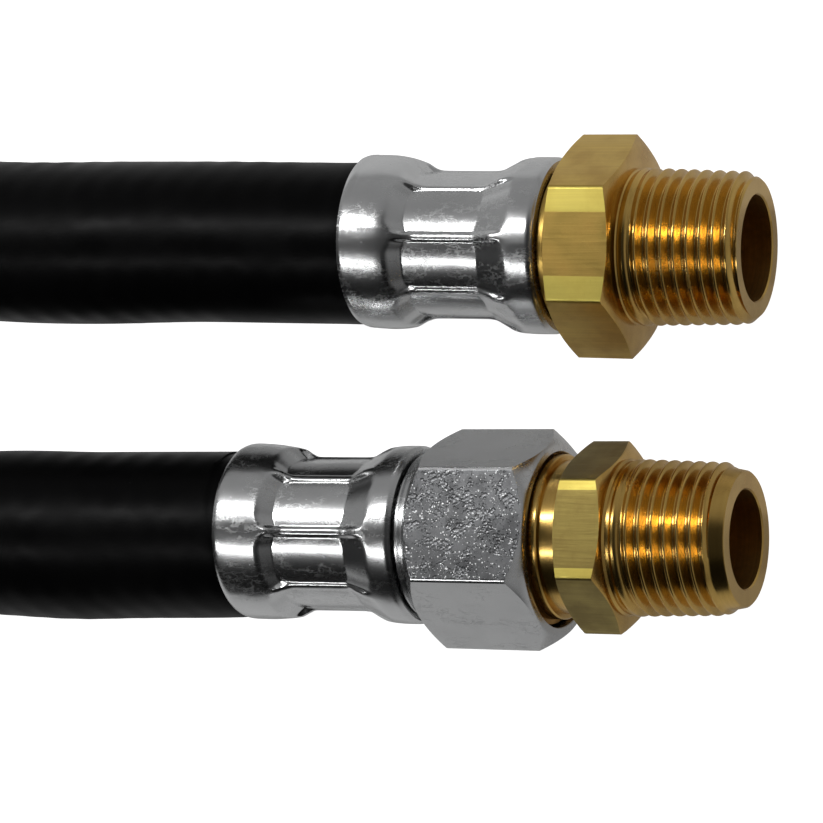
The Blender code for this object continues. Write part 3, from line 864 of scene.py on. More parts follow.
@dataclass(frozen=True)
class PipeThread:
    """Right-hand taper pipe thread, 1/2-14, between two places on an axis."""

    start: float
    end: float
    face_radius: float
    chamfer: float
    pitch: float = 0.0254 / 14
    end_radius: float = 0.01036
    taper: float = 1 / 32
    depth: float = 0.00122
    lead: float = 0.5
    profile: Outline = (
        (0.0, 0.0), (0.05, 0.0), (0.085, 0.03), (0.14, 0.14), (0.22, 0.36), (0.30, 0.58),
        (0.38, 0.80), (0.44, 0.95), (0.48, 1.0), (0.54, 1.0), (0.58, 0.95), (0.64, 0.80),
        (0.72, 0.58), (0.80, 0.36), (0.88, 0.14), (0.95, 0.02),
    )

    def radius(self, x: float, share: float) -> float:
        """Radius at x of the profile's line that lies share of the depth below the crest.

        Args:
            x: Place along the axis.
            share: Part of the thread's depth, 0 at the crest.

        Returns:
            The radius.
        """
        crest = self.end_radius + (self.end - x) * self.taper
        fade = min(max((x - self.start) / self.pitch, 0.0), 1.0)
        rise = (self.end_radius - self.face_radius) / self.chamfer
        cone = self.face_radius + (self.end - x) * rise
        return min(crest - share * self.depth * fade, max(cone, self.face_radius))

    def wrap(self, skin: RoundSkin) -> None:
        """Lay the thread with rows of faces that follow the helix.

        Rows start before the thread and end after it. A corner that would lie outside
        the thread is the corner of the plain ring there, so the helix runs out cleanly.

        Args:
            skin: Skin that gets the rings and faces.
        """
        bm = skin.bm
        back = [skin.angles[0]] + [angle - FULL_TURN for angle in reversed(skin.angles[1:])]
        first, last = (self._plain_ring(bm, x, back) for x in (self.start, self.end))
        lines = len(self.profile)
        rows = (math.ceil((self.end - self.start) / self.pitch) + 3) * lines
        grid = []
        for row in range(rows + 1):
            place, share = self.profile[row % lines]
            verts = []
            for i, angle in enumerate(back):
                turned = (back[0] - angle) / FULL_TURN
                x = self.start + (self.lead - 2 + row // lines + place + turned) * self.pitch
                if x <= self.start:
                    verts.append(first[i])
                elif x >= self.end:
                    verts.append(last[i])
                else:
                    r = self.radius(x, share)
                    verts.append(bm.verts.new((x, r * math.sin(angle), r * math.cos(angle))))
            grid.append(verts)
        for row in range(rows):
            upper, lower = grid[row], grid[row + 1]
            for i in range(len(back) - 1):
                self._patch(bm, (upper[i], upper[i + 1], lower[i + 1], lower[i]))
            if row + lines < rows:
                self._patch(bm, (upper[-1], grid[row + lines][0], grid[row + 1 + lines][0],
                                 lower[-1]))
        skin.take([first[0]] + first[:0:-1])
        skin.take([last[0]] + last[:0:-1], joined=False)

    def _plain_ring(self, bm: bmesh.types.BMesh, x: float,
                    angles: Sequence[float]) -> list[bmesh.types.BMVert]:
        """Corners of the plain ring at one end of the thread.

        Args:
            bm: Mesh that gets the corners.
            x: Place of the ring.
            angles: Angles of the corners.

        Returns:
            The corners.
        """
        r = self.radius(x, 0.0)
        return [bm.verts.new((x, r * math.sin(a), r * math.cos(a))) for a in angles]

    @staticmethod
    def _patch(bm: bmesh.types.BMesh, corners: Sequence[bmesh.types.BMVert]) -> None:
        """Lay one face, unless its corners fall together to a line.

        Args:
            bm: Mesh that gets the face.
            corners: Its corners in order.
        """
        distinct = list(dict.fromkeys(corners))
        if len(distinct) > 2:
            bm.faces.new(distinct)


# Sub-assemblies


@dataclass(frozen=True)
class EndFrame:
    """Where one end of the hose lies: its rim, the way it points and what it rests on."""

    rim: tuple[float, float]
    azimuth: float
    flats: float
    turn: float
    lift: float
    touch: float

    @property
    def height(self) -> float:
        """Height of the rim's middle, with the hexagon touching the floor at touch."""
        corner = self.flats / 2 / math.cos(HEX_TURN / 2)
        resting = corner * math.cos(HEX_TURN / 2 - abs(self.turn))
        return resting * math.cos(self.lift) - self.touch * math.sin(self.lift)

    def matrix(self) -> Matrix:
        """Matrix that puts the end's own axis in its place."""
        move = Matrix.Translation((*self.rim, self.height))
        return move @ Matrix.Rotation(self.azimuth, 4, "Z") @ Matrix.Rotation(-self.lift, 4, "Y")

    def at(self, x: float) -> Vector:
        """Place of a point on the end's axis."""
        return self.matrix() @ Vector((x, 0, 0))


FIXED_FRAME = EndFrame(rim=(0.1673, 0.0205), azimuth=math.radians(-1.11), flats=0.0270,
                       turn=math.radians(-1.5), lift=0.0, touch=0.0318)
SWIVEL_FRAME = EndFrame(rim=(0.1491, -0.0210), azimuth=math.radians(0.87), flats=0.0270,
                        turn=math.radians(10.0), lift=math.radians(2.3), touch=0.0321)


@dataclass(frozen=True)
class InsertStub:
    """Barbed insert of a fitting, which the hose hides."""

    start: float = 0.0030
    radius: float = 0.0060
    valley_radius: float = 0.0056
    shoulder_radius: float = 0.0104
    shoulder_length: float = 0.0058
    bore_radius: float = 0.0047
    barbs: int = 4
    barbed_share: float = 0.75
    crest_place: float = 0.7
    crest_width: float = 0.1

    def wrap(self, skin: RoundSkin, ferrule_length: float) -> None:
        """Lay the insert and its shoulder up to the end of the ferrule.

        Args:
            skin: Skin that gets the rings.
            ferrule_length: x of the ferrule's front face.
        """
        end = ferrule_length - self.shoulder_length
        skin.ring(self.start, self.valley_radius)
        step = (end - self.start) * self.barbed_share / self.barbs
        for index in range(self.barbs):
            crest = self.start + (index + self.crest_place) * step
            skin.ring(crest, self.radius)
            skin.ring(crest + self.crest_width * step, self.valley_radius)
        skin.ring(end, self.valley_radius)
        skin.ring(end, self.shoulder_radius)
        skin.ring(ferrule_length + SEAT_GAP, self.shoulder_radius)


@dataclass
class CrimpedFerrule:
    """Ferrule pressed round the hose by eight dies, which leave pads and ridges."""

    name: str
    outline: Outline
    pad_start: float
    pad_end: float
    pad_radius: float
    length: float
    pads: int = 8
    ridge_turn: float = math.radians(3.0)
    ridge_half: float = math.radians(1.4)
    ridge_foot: float = math.radians(4.6)
    ridge_columns: tuple[float, ...] = (0.0, 1.0, 2.0, 2.6, 3.2, 3.8, 4.4, 5.2)
    pad_columns: tuple[float, float, int] = (6.5, 38.5, 16)
    corner_rounding: float = 0.0005
    rounding_near: float = math.radians(3.0)
    rounding_far: float = math.radians(12.0)
    wall_slope: float = 0.9
    run_out: float = 0.42
    crease_width: float = 0.00012
    swell_height: float = 0.00003
    swell_grain: tuple[float, float, float] = (260.0, 3.1, 1.7)
    wear_height: float = 0.000006
    wear_grain: tuple[float, float, float] = (900.0, 11.0, 4.2)
    lip_stations: tuple[float, ...] = (0.0, 0.00012, 0.0003, 0.0006, 0.0010)
    face_stations: tuple[float, ...] = (0.0007, 0.0004, 0.0002, 0.0)
    lip_margin: float = 0.0004
    face_margin: float = 0.0009
    station_step: float = 0.00034
    fine_step: float = 0.00011
    fine_reach: float = 0.0007
    crimped_bore: float = 0.0089
    crimp_start: float = 0.0100
    seat_chamfer: float = 0.0006
    mouth_bore: float = 0.0116
    mouth_taper: float = 0.0004
    mouth_depth: float = 0.0045
    mouth_lean: float = 0.0004
    lean_length: float = 0.0095

    def side(self, x: float) -> float:
        """How far the bell leans to one side at x."""
        return self.mouth_lean * max(0.0, 1 - x / self.lean_length)

    def outer_radius(self, x: float, angle: float) -> float:
        """Outside radius at a place of the ferrule.

        Args:
            x: Place along the axis.
            angle: Angle round the axis.

        Returns:
            The radius.
        """
        base = profile_value(self.outline, x)
        sector = FULL_TURN / self.pads
        off = abs((angle - self.ridge_turn + sector / 2) % sector - sector / 2)
        pressed = smoothstep(self.ridge_half, self.ridge_foot, off)
        rounding = self.corner_rounding * smoothstep(self.rounding_far, self.rounding_near, off)
        wall = max(0.0, self.pad_start + rounding - x) * self.wall_slope
        climb = max(0.0, x - self.pad_end + rounding) * self.run_out
        pad = blend_down(base, self.pad_radius + wall + climb, self.crease_width)
        swell = self._grain(self.swell_grain, x, angle) * self.swell_height * pressed
        wear = self._grain(self.wear_grain, x, angle) * self.wear_height
        return base + (pad - base) * pressed + swell + wear

    @staticmethod
    def _grain(grain: tuple[float, float, float], x: float, angle: float) -> float:
        """Noise at a place of the ferrule.

        Args:
            grain: Scale along the axis, scale round it, and layer.
            x: Place along the axis.
            angle: Angle round the axis.

        Returns:
            The noise, between -1 and 1.
        """
        along, around, layer = grain
        return noise.noise(Vector((x * along, angle * around, layer)))

    def columns(self) -> list[float]:
        """Angles of the columns, closest together on the ridges.

        Returns:
            The angles, in rising order.
        """
        degrees = [-d for d in self.ridge_columns[:0:-1]] + list(self.ridge_columns)
        first, last, steps = self.pad_columns
        degrees += [first + (last - first) * step / steps for step in range(steps + 1)]
        sector = FULL_TURN / self.pads
        return [self.ridge_turn + side * sector + math.radians(d)
                for side in range(self.pads) for d in degrees]

    def stations(self) -> list[float]:
        """Places along the axis, closest together at the rim and the pads' ends.

        Returns:
            The places, from the rim to the front face.
        """
        places = list(self.lip_stations)
        x = places[-1] + self.lip_margin
        while x < self.length - self.face_margin:
            places.append(x)
            near = min(abs(x - self.pad_start), abs(x - self.pad_end) * 1.5)
            x += self.fine_step if near < self.fine_reach else self.station_step
        return places + [self.length - d for d in self.face_stations]

    def build(self, placed: EndFrame, look: bpy.types.Material,
              insert: InsertStub) -> bpy.types.Object:
        """Build the ferrule in place of its plain node.

        Args:
            placed: Frame of the ferrule's end.
            look: Zinc of the ferrule.
            insert: Insert whose shoulder the ferrule closes round.

        Returns:
            The ferrule.
        """
        skin = RoundSkin(self.columns())
        for x in self.stations():
            skin.ring(x, lambda angle, x=x: self.outer_radius(x, angle), side=self.side(x))
        seat = self.length - insert.shoulder_length - SEAT_GAP
        shoulder_bore = insert.shoulder_radius + SEAT_GAP
        skin.lay(((self.length, shoulder_bore), (seat, shoulder_bore),
                  (seat - self.seat_chamfer, self.crimped_bore),
                  (self.crimp_start, self.crimped_bore)))
        skin.ring(self.mouth_depth, self.mouth_bore - self.mouth_taper,
                  side=self.side(self.mouth_depth))
        skin.ring(0.0, self.mouth_bore, side=self.side(0.0))
        skin.close()
        return skin.finish(self.name + "_shell", [look], placed.matrix())


FIXED_FERRULE = CrimpedFerrule(
    name="fixed_ferrule",
    outline=(
        (0.0, 0.01206), (0.0003, 0.01218), (0.0007, 0.01227), (0.00125, 0.01229),
        (0.0014, 0.01224), (0.0016, 0.01229), (0.0035, 0.01229), (0.0055, 0.01214),
        (0.0081, 0.01151), (0.0096, 0.01076), (0.0108, 0.01046), (0.0125, 0.01043),
        (0.0184, 0.01040), (0.0195, 0.01050), (0.0212, 0.01124), (0.0227, 0.01199),
        (0.0240, 0.01224), (0.0262, 0.01230), (0.0284, 0.01226), (0.0290, 0.01185),
    ),
    pad_start=0.0089, pad_end=0.0200, pad_radius=0.01011, length=0.0290,
)
SWIVEL_FERRULE = CrimpedFerrule(
    name="swivel_ferrule",
    outline=(
        (0.0, 0.01236), (0.0003, 0.01250), (0.0007, 0.01260), (0.0013, 0.01263),
        (0.0036, 0.01257), (0.0060, 0.01235), (0.0082, 0.01200), (0.0095, 0.01135),
        (0.0104, 0.01099), (0.0117, 0.01096), (0.0183, 0.01093), (0.0192, 0.01099),
        (0.0208, 0.01175), (0.0220, 0.01225), (0.0230, 0.01242), (0.0255, 0.01256),
        (0.0271, 0.01254), (0.0277, 0.01215),
    ),
    pad_start=0.0085, pad_end=0.0196, pad_radius=0.01060, length=0.0277,
    mouth_bore=0.0118, mouth_lean=0.0003,
)


@dataclass(frozen=True)
class DrilledMouth:
    """Mouth drilled into a thread's end, with the bore behind it."""

    radius: float
    depth: float = 0.0120
    edge: float = 0.0002
    drill_cone: float = 0.0015
    bore_radius: float = InsertStub.bore_radius

    def wrap(self, skin: RoundSkin, face: float, bore_end: float) -> None:
        """Lay the mouth in from the end face, and the bore on to bore_end.

        Args:
            skin: Skin that gets the rings.
            face: x of the end face.
            bore_end: x where the bore ends.
        """
        bottom = face - self.depth
        skin.lay(((face, self.radius + self.edge), (face - self.edge, self.radius)))
        # The bore's wall gets the darker brass: painted shade.
        skin.lay(((bottom, self.radius), (bottom - self.drill_cone, self.bore_radius),
                  (bore_end, self.bore_radius)), BrassSlot.SHADED_HOLLOW)


@dataclass
class FixedFitting:
    """One-piece brass fitting with its neck, hexagon, collar, thread and bore."""

    neck_length: float = 0.0021
    neck_radius: float = 0.0107
    neck_band: float = 0.0007
    neck_slope: float = 0.0002
    neck_groove_depth: float = 0.0003
    hexagon: Hexagon = Hexagon(0.0271, math.radians(-1.5), crown=0.00014, margin=0.58)
    hex_length: float = 0.0093
    back_chamfer: float = 0.00075
    front_chamfer: float = 0.0009
    collar_outline: Outline = ((0.0, 0.0002), (0.0002, 0.0))
    collar_length: float = 0.0010
    collar_radius: float = 0.0105
    thread_length: float = 0.0157
    thread_chamfer: float = 0.0011
    face_radius: float = 0.0094
    mouth: DrilledMouth = DrilledMouth(0.0072)
    insert: InsertStub = InsertStub()

    def build(self, placed: EndFrame, ferrule_length: float,
              looks: Sequence[bpy.types.Material]) -> bpy.types.Object:
        """Build the fitting in place of its plain node.

        Args:
            placed: The fixed end's frame.
            ferrule_length: x of the ferrule's front face.
            looks: Brass turned, drawn, bore brass with painted shade, painted bright on the flats'
                margins.

        Returns:
            The fitting.
        """
        skin = RoundSkin(self.hexagon.angles())
        self.insert.wrap(skin, ferrule_length)
        neck_start = ferrule_length + SEAT_GAP
        hex_start = ferrule_length + self.neck_length
        hex_end = hex_start + self.hex_length
        groove = self.neck_radius - self.neck_groove_depth
        skin.ring(neck_start, self.neck_radius)
        skin.ring(neck_start + self.neck_band, self.neck_radius, BrassSlot.FLAT)
        # The neck groove gets the darker brass: painted shade.
        skin.ring(neck_start + self.neck_band + self.neck_slope, groove, BrassSlot.SHADED_HOLLOW)
        skin.ring(hex_start, groove, BrassSlot.SHADED_HOLLOW)
        self.hexagon.wrap(skin, hex_start, hex_end, self.back_chamfer, self.front_chamfer,
                          self.hexagon.flat_look)
        skin.lay(self.collar_outline, start=hex_end, base=self.collar_radius)
        thread_start = hex_end + self.collar_length
        thread = PipeThread(thread_start, thread_start + self.thread_length, self.face_radius,
                            self.thread_chamfer)
        thread.wrap(skin)
        self.mouth.wrap(skin, thread.end, self.insert.start)
        skin.close()
        return skin.finish("fixed_fitting_turned", looks, placed.matrix())


@dataclass
class SwivelNut:
    """Steel hexagon nut with grainy wrench flats and a rolled mouth."""

    hexagon: Hexagon = Hexagon(0.0270, math.radians(10.0))
    length: float = 0.0178
    cone_length: float = 0.00015
    back_chamfer: float = 0.0017
    front_chamfer: float = 0.0020
    side_play: float = -0.00040
    burr_highlight_start: float = 0.978
    flat_lean: float = 0.02
    bore_radius: float = 0.0126
    mouth_radius: float = 0.01215
    mouth_outline: Outline = ((-0.00005, 0.0008), (0.0, 0.0003), (0.0, 0.0001), (-0.0001, 0.0))
    lip_length: float = 0.0010

    def build(self, placed: EndFrame, start: float,
              looks: Sequence[bpy.types.Material]) -> bpy.types.Object:
        """Build the nut in place of its plain node.

        Args:
            placed: The swivel end's frame.
            start: x of the nut's back face.
            looks: Zinc that is plain, grainy, and a painted edge highlight on the grainy flats.

        Returns:
            The nut.
        """
        skin = RoundSkin(self.hexagon.angles())
        end = start + self.length
        self.hexagon.wrap(skin, start, end - self.cone_length, self.back_chamfer,
                          self.front_chamfer, NutSlot.PLAIN)
        skin.lay(self.mouth_outline, start=end, base=self.mouth_radius)
        skin.lay(((end - self.lip_length, self.mouth_radius),
                  (end - self.lip_length, self.bore_radius), (start, self.bore_radius)))
        skin.close()
        self._grain_flats(skin)
        loose = Matrix.Translation((0, self.side_play, 0))
        return skin.finish("swivel_nut_forged", looks, placed.matrix() @ loose)

    def _grain_flats(self, skin: RoundSkin) -> None:
        """Give two opposite flats the grainy finish, and their worn edges a near-white painted
        highlight.

        Args:
            skin: The nut's closed skin.
        """
        for face in skin.bm.faces:
            face.normal_update()
            middle = face.calc_center_median()
            level = abs(face.normal.x) <= self.flat_lean
            if not level or math.hypot(middle.y, middle.z) < self.hexagon.flats / 2:
                continue
            angle = math.atan2(middle.y, middle.z)
            if round((angle - self.hexagon.turn) / HEX_TURN) % 3 == 0:
                # Edge strip: worn edge, painted near-white as an edge highlight.
                on_burr_highlight = self.hexagon.across(angle) > self.burr_highlight_start
                face.material_index = NutSlot.BURR_HIGHLIGHT if on_burr_highlight else NutSlot.GRAINY


@dataclass
class SwivelStem:
    """Plated insert whose grooved collar shows between the ferrule and the nut."""

    neck_length: float = 0.0026
    neck_radius: float = 0.0116
    neck_edge: float = 0.0002
    groove_pitch: float = 0.00085
    groove_outline: Outline = ((0.00012, 0.0), (0.00038, 0.0), (0.00055, -0.00035),
                               (0.00075, -0.00035))
    body_length: float = 0.0095
    body_radius: float = 0.0121
    socket_radius: float = 0.0083
    socket_depth: float = 0.0052
    columns: int = 120
    insert: InsertStub = InsertStub()

    def build(self, placed: EndFrame, ferrule_length: float,
              look: bpy.types.Material) -> bpy.types.Object:
        """Build the stem in place of its plain node.

        Args:
            placed: The swivel end's frame.
            ferrule_length: x of the ferrule's front face.
            look: Zinc of the stem.

        Returns:
            The stem.
        """
        skin = RoundSkin(even_angles(self.columns))
        self.insert.wrap(skin, ferrule_length)
        neck = ferrule_length + SEAT_GAP
        body_start = ferrule_length + self.neck_length
        body_end = body_start + self.body_length
        socket_end = body_end - self.socket_depth
        skin.ring(neck, self.neck_radius - self.neck_edge)
        for start in (neck, neck + self.groove_pitch):
            skin.lay(self.groove_outline, start=start, base=self.neck_radius)
        skin.lay((
            (body_start, self.neck_radius), (body_start, self.body_radius),
            (body_end, self.body_radius), (body_end, self.socket_radius),
            (socket_end, self.socket_radius), (socket_end, self.insert.bore_radius),
            (self.insert.start, self.insert.bore_radius),
        ))
        skin.close()
        return skin.finish("swivel_stem_collar", [look], placed.matrix())


@dataclass
class SwivelAdapter:
    """Brass adapter that turns in the nut."""

    spigot_radius: float = 0.0080
    spigot_length: float = 0.0044
    groove_radius: float = 0.0065
    groove_place: float = 0.0012
    groove_width: float = 0.0019
    flange_radius: float = 0.0121
    flange_length: float = 0.0024
    ring_radius: float = 0.01140
    ring_length: float = 0.0011
    ring_hidden: float = 0.0002
    ring_edge: Outline = ((-0.00025, 0.0), (-0.00005, -0.0002))
    neck_radius: float = 0.01063
    neck_length: float = 0.0025
    hexagon: Hexagon = Hexagon(0.0233, math.radians(7.2), crown=0.00008, margin=0.78)
    hex_length: float = 0.0068
    back_chamfer: float = 0.00075
    front_chamfer: float = 0.0009
    collar_length: float = 0.0015
    collar_radius: float = 0.0105
    collar_outline: Outline = ((0.0, 0.0003), (0.0003, 0.0), (0.0008, 0.0), (0.0010, -0.0003),
                               (0.0013, -0.0003), (0.0014, 0.0))
    thread_length: float = 0.0132
    thread_chamfer: float = 0.00055
    thread_drop: float = 0.0006
    nose_length: float = 0.0020
    nose_radius: float = 0.00930
    nose_root: float = 0.0003
    nose_edge: float = 0.0002
    mouth: DrilledMouth = DrilledMouth(0.0067)

    def build(self, placed: EndFrame, stem_face: float, nut_end: float, lip: float,
              looks: Sequence[bpy.types.Material]) -> bpy.types.Object:
        """Build the adapter in place of its plain node.

        Args:
            placed: The swivel end's frame.
            stem_face: x of the stem's front face.
            nut_end: x of the nut's front face.
            lip: Length of the nut's lip.
            looks: Brass turned, worn, bore brass with painted shade, painted bright on the flats'
                margins.

        Returns:
            The adapter.
        """
        skin = RoundSkin(self.hexagon.angles())
        spigot = stem_face - self.spigot_length
        groove = spigot + self.groove_place
        groove_end = groove + self.groove_width
        flange_end = nut_end - lip - SEAT_GAP
        flange_start = flange_end - self.flange_length
        ring_end = nut_end + self.ring_length
        hex_start = ring_end + self.neck_length
        hex_end = hex_start + self.hex_length
        thread_start = hex_end + self.collar_length
        skin.lay((
            (spigot, self.spigot_radius), (groove, self.spigot_radius),
            (groove, self.groove_radius), (groove_end, self.groove_radius),
            (groove_end, self.spigot_radius), (flange_start, self.spigot_radius),
            (flange_start, self.flange_radius), (flange_end, self.flange_radius),
        ))
        # The ring inside the nut's mouth gets the darker brass: painted shade in the gap.
        skin.lay(((flange_end, self.ring_radius), (nut_end - self.ring_hidden, self.ring_radius)),
                 BrassSlot.SHADED_HOLLOW)
        skin.lay(self.ring_edge, start=ring_end, base=self.ring_radius)
        skin.lay(((ring_end, self.neck_radius), (hex_start, self.neck_radius)))
        self.hexagon.wrap(skin, hex_start, hex_end, self.back_chamfer, self.front_chamfer,
                          self.hexagon.flat_look)
        skin.lay(self.collar_outline, start=hex_end, base=self.collar_radius)
        thread = PipeThread(thread_start, thread_start + self.thread_length,
                            PipeThread.end_radius - self.thread_drop, self.thread_chamfer)
        thread.wrap(skin)
        nose_end = thread.end + self.nose_length
        skin.lay((
            (thread.end + self.nose_edge, self.nose_radius + self.nose_root),
            (nose_end - self.nose_edge, self.nose_radius),
            (nose_end, self.nose_radius - self.nose_edge),
        ))
        self.mouth.wrap(skin, nose_end, spigot)
        skin.close()
        return skin.finish("swivel_adapter_turned", looks, placed.matrix())


@dataclass
class HoseRun:
    """The hose along its route, with the ripple of the braid under its cover."""

    radius: float = 0.0120
    bore_radius: float = 0.00635
    ripple: float = 0.00006
    ripple_pitch: float = 0.0046
    ripple_turns: int = 5
    patch_along: float = 60.0
    patch_around: float = 1.5
    free_length: float = 0.004
    columns: int = 72
    route_steps: int = 200
    ring_step: float = 0.0024
    fine_step: float = 0.0007
    fine_reach: float = 0.064
    lead_length: float = 0.024
    lead_drop: float = 0.0001
    squeezed: Outline = ((0.0210, 0.0086), (0.0100, 0.0086), (0.0045, 0.0109))
    fixed_girth: Outline = (
        (0.0, 0.01135), (0.0015, 0.01152), (0.027, 0.01172), (0.045, 0.0120),
    )
    swivel_girth: Outline = (
        (0.0, 0.01160), (0.0015, 0.01200), (0.005, 0.01213), (0.018, 0.01226), (0.032, 0.01245),
        (0.060, 0.0120),
    )
    swivel_sag: Outline = (
        (0.0, 0.0), (0.0015, 0.00024), (0.005, 0.00035), (0.018, 0.00056), (0.032, 0.00078),
        (0.060, 0.0004), (0.100, 0.0),
    )
    half_route: tuple[tuple[float, float, float], ...] = (
        (0.099, 0.022, 0.0003), (0.055, 0.030, 0.0001), (0.019, 0.052, 0.0),
        (-0.012, 0.083, 0.0), (-0.052, 0.109, 0.0), (-0.099, 0.118, 0.0),
        (-0.144, 0.108, 0.0), (-0.180, 0.082, 0.0), (-0.205, 0.044, 0.0),
    )
    loop_end: tuple[float, float, float] = (-0.2127, 0.0, 0.0)

    def route(self) -> list[Vector]:
        """Points that the hose's middle goes through, from rim to rim.

        Returns:
            The points in order, the fixed end first.
        """
        floor = [*self.half_route, self.loop_end]
        floor += [(x, -y, lift) for x, y, lift in reversed(self.half_route)]
        lead = Vector((-self.lead_length, 0, -self.lead_drop))
        points = [FIXED_FRAME.at(0), FIXED_FRAME.matrix() @ lead]
        points += [Vector((x, y, self.radius + lift)) for x, y, lift in floor]
        points += [SWIVEL_FRAME.matrix() @ lead, SWIVEL_FRAME.at(0)]
        return points

    @staticmethod
    def _between(points: Sequence[Vector], index: int, part: float) -> Vector:
        """Point on a smooth curve between points[index] and points[index + 1].

        Args:
            points: Points of the route.
            index: Point before the place.
            part: Part of the way to the next point.

        Returns:
            The point.
        """
        before, start = points[max(index - 1, 0)], points[index]
        end, after = points[index + 1], points[min(index + 2, len(points) - 1)]
        span = (end - start).length
        leave = (end - before) * (span / (span + (start - before).length))
        reach = (after - start) * (span / (span + (after - end).length))
        square, cube = part * part, part ** 3
        return (start * (2 * cube - 3 * square + 1) + leave * (cube - 2 * square + part)
                + end * (3 * square - 2 * cube) + reach * (cube - square))

    def centres(self) -> list[Vector]:
        """Points along the middle of the hose between the rims, closest together near them.

        Returns:
            The points, the fixed end first.
        """
        points = self.route()
        fine = [self._between(points, i, step / self.route_steps)
                for i in range(len(points) - 1) for step in range(self.route_steps)]
        fine.append(points[-1])
        lengths = [0.0]
        for first, second in zip(fine, fine[1:]):
            lengths.append(lengths[-1] + (second - first).length)
        total = lengths[-1]
        picked = []
        goal, at = 0.0, 0
        while goal < total:
            while at < len(fine) - 2 and lengths[at + 1] < goal:
                at += 1
            part = (goal - lengths[at]) / max(lengths[at + 1] - lengths[at], 1e-9)
            picked.append(fine[at].lerp(fine[at + 1], min(max(part, 0.0), 1.0)))
            near_end = min(goal, total - goal)
            goal += self.fine_step if near_end < self.fine_reach else self.ring_step
        return picked + [fine[-1]]

    def sections(self) -> list[tuple[Vector, float]]:
        """Middle and radius of every ring, from inside one ferrule to inside the other.

        Returns:
            Middle and radius of each ring, the fixed end first.
        """
        made = [(FIXED_FRAME.at(x), r) for x, r in self.squeezed]
        fixed_rim, swivel_rim = FIXED_FRAME.at(0), SWIVEL_FRAME.at(0)
        centres = self.centres()
        for index, centre in enumerate(centres):
            if index < len(centres) / 2:
                from_fixed = (centre - fixed_rim).length
                made.append((centre, profile_value(self.fixed_girth, from_fixed)))
            else:
                from_swivel = (centre - swivel_rim).length
                girth = profile_value(self.swivel_girth, from_swivel)
                sag = profile_value(self.swivel_sag, from_swivel)
                rise = max(0.0, girth - centre.z)
                made.append((centre + Vector((0, -sag, rise)), girth))
        made += [(SWIVEL_FRAME.at(x), r) for x, r in reversed(self.squeezed)]
        return made

    def _relief(self, run: float, angle: float) -> float:
        """Height of the ripple at a length along the hose and an angle round it.

        Args:
            run: Length along the hose.
            angle: Angle round it.

        Returns:
            The height.
        """
        phase = FULL_TURN * run / self.ripple_pitch
        twist = self.ripple_turns * angle
        wave = math.sin(phase + twist) + math.sin(phase - twist)
        patch = noise.noise(Vector((run * self.patch_along, math.cos(angle) * self.patch_around,
                                    math.sin(angle) * self.patch_around)))
        return self.ripple * (0.5 * wave * (0.6 + patch) + 0.7 * patch - 1.0)

    def build(self, look: bpy.types.Material) -> tuple[bpy.types.Object, list[Vector]]:
        """Build the hose in place of its plain node.

        Args:
            look: Rubber of the cover.

        Returns:
            The hose and the points along its middle.
        """
        sections = self.sections()
        rims = (FIXED_FRAME.at(0), SWIVEL_FRAME.at(0))
        up = Vector((0, 0, 1))
        bm = bmesh.new()
        outer, inner = [], []
        run = 0.0
        for index, (centre, radius) in enumerate(sections):
            before = sections[max(index - 1, 0)][0]
            after = sections[min(index + 1, len(sections) - 1)][0]
            ahead = (after - before).normalized()
            side = up.cross(ahead).normalized()
            high = ahead.cross(side)
            run += (centre - before).length
            free = smoothstep(0.0, self.free_length, min((centre - rim).length for rim in rims))
            ring, core = [], []
            for angle in even_angles(self.columns):
                spoke = high * math.cos(angle) + side * math.sin(angle)
                cover = radius + free * self._relief(run, angle)
                ring.append(bm.verts.new(centre + spoke * cover))
                core.append(bm.verts.new(centre + spoke * self.bore_radius))
            outer.append(ring)
            inner.append(core)
        for rings in (outer, inner):
            for first, second in zip(rings, rings[1:]):
                join_rings(bm, first, second)
        join_rings(bm, outer[0], inner[0])
        join_rings(bm, outer[-1], inner[-1])
        made = finish_piece(bm, "hose_cover", [look], Matrix(), sharp=50.0)
        return made, [centre for centre, _ in sections]


# Studio


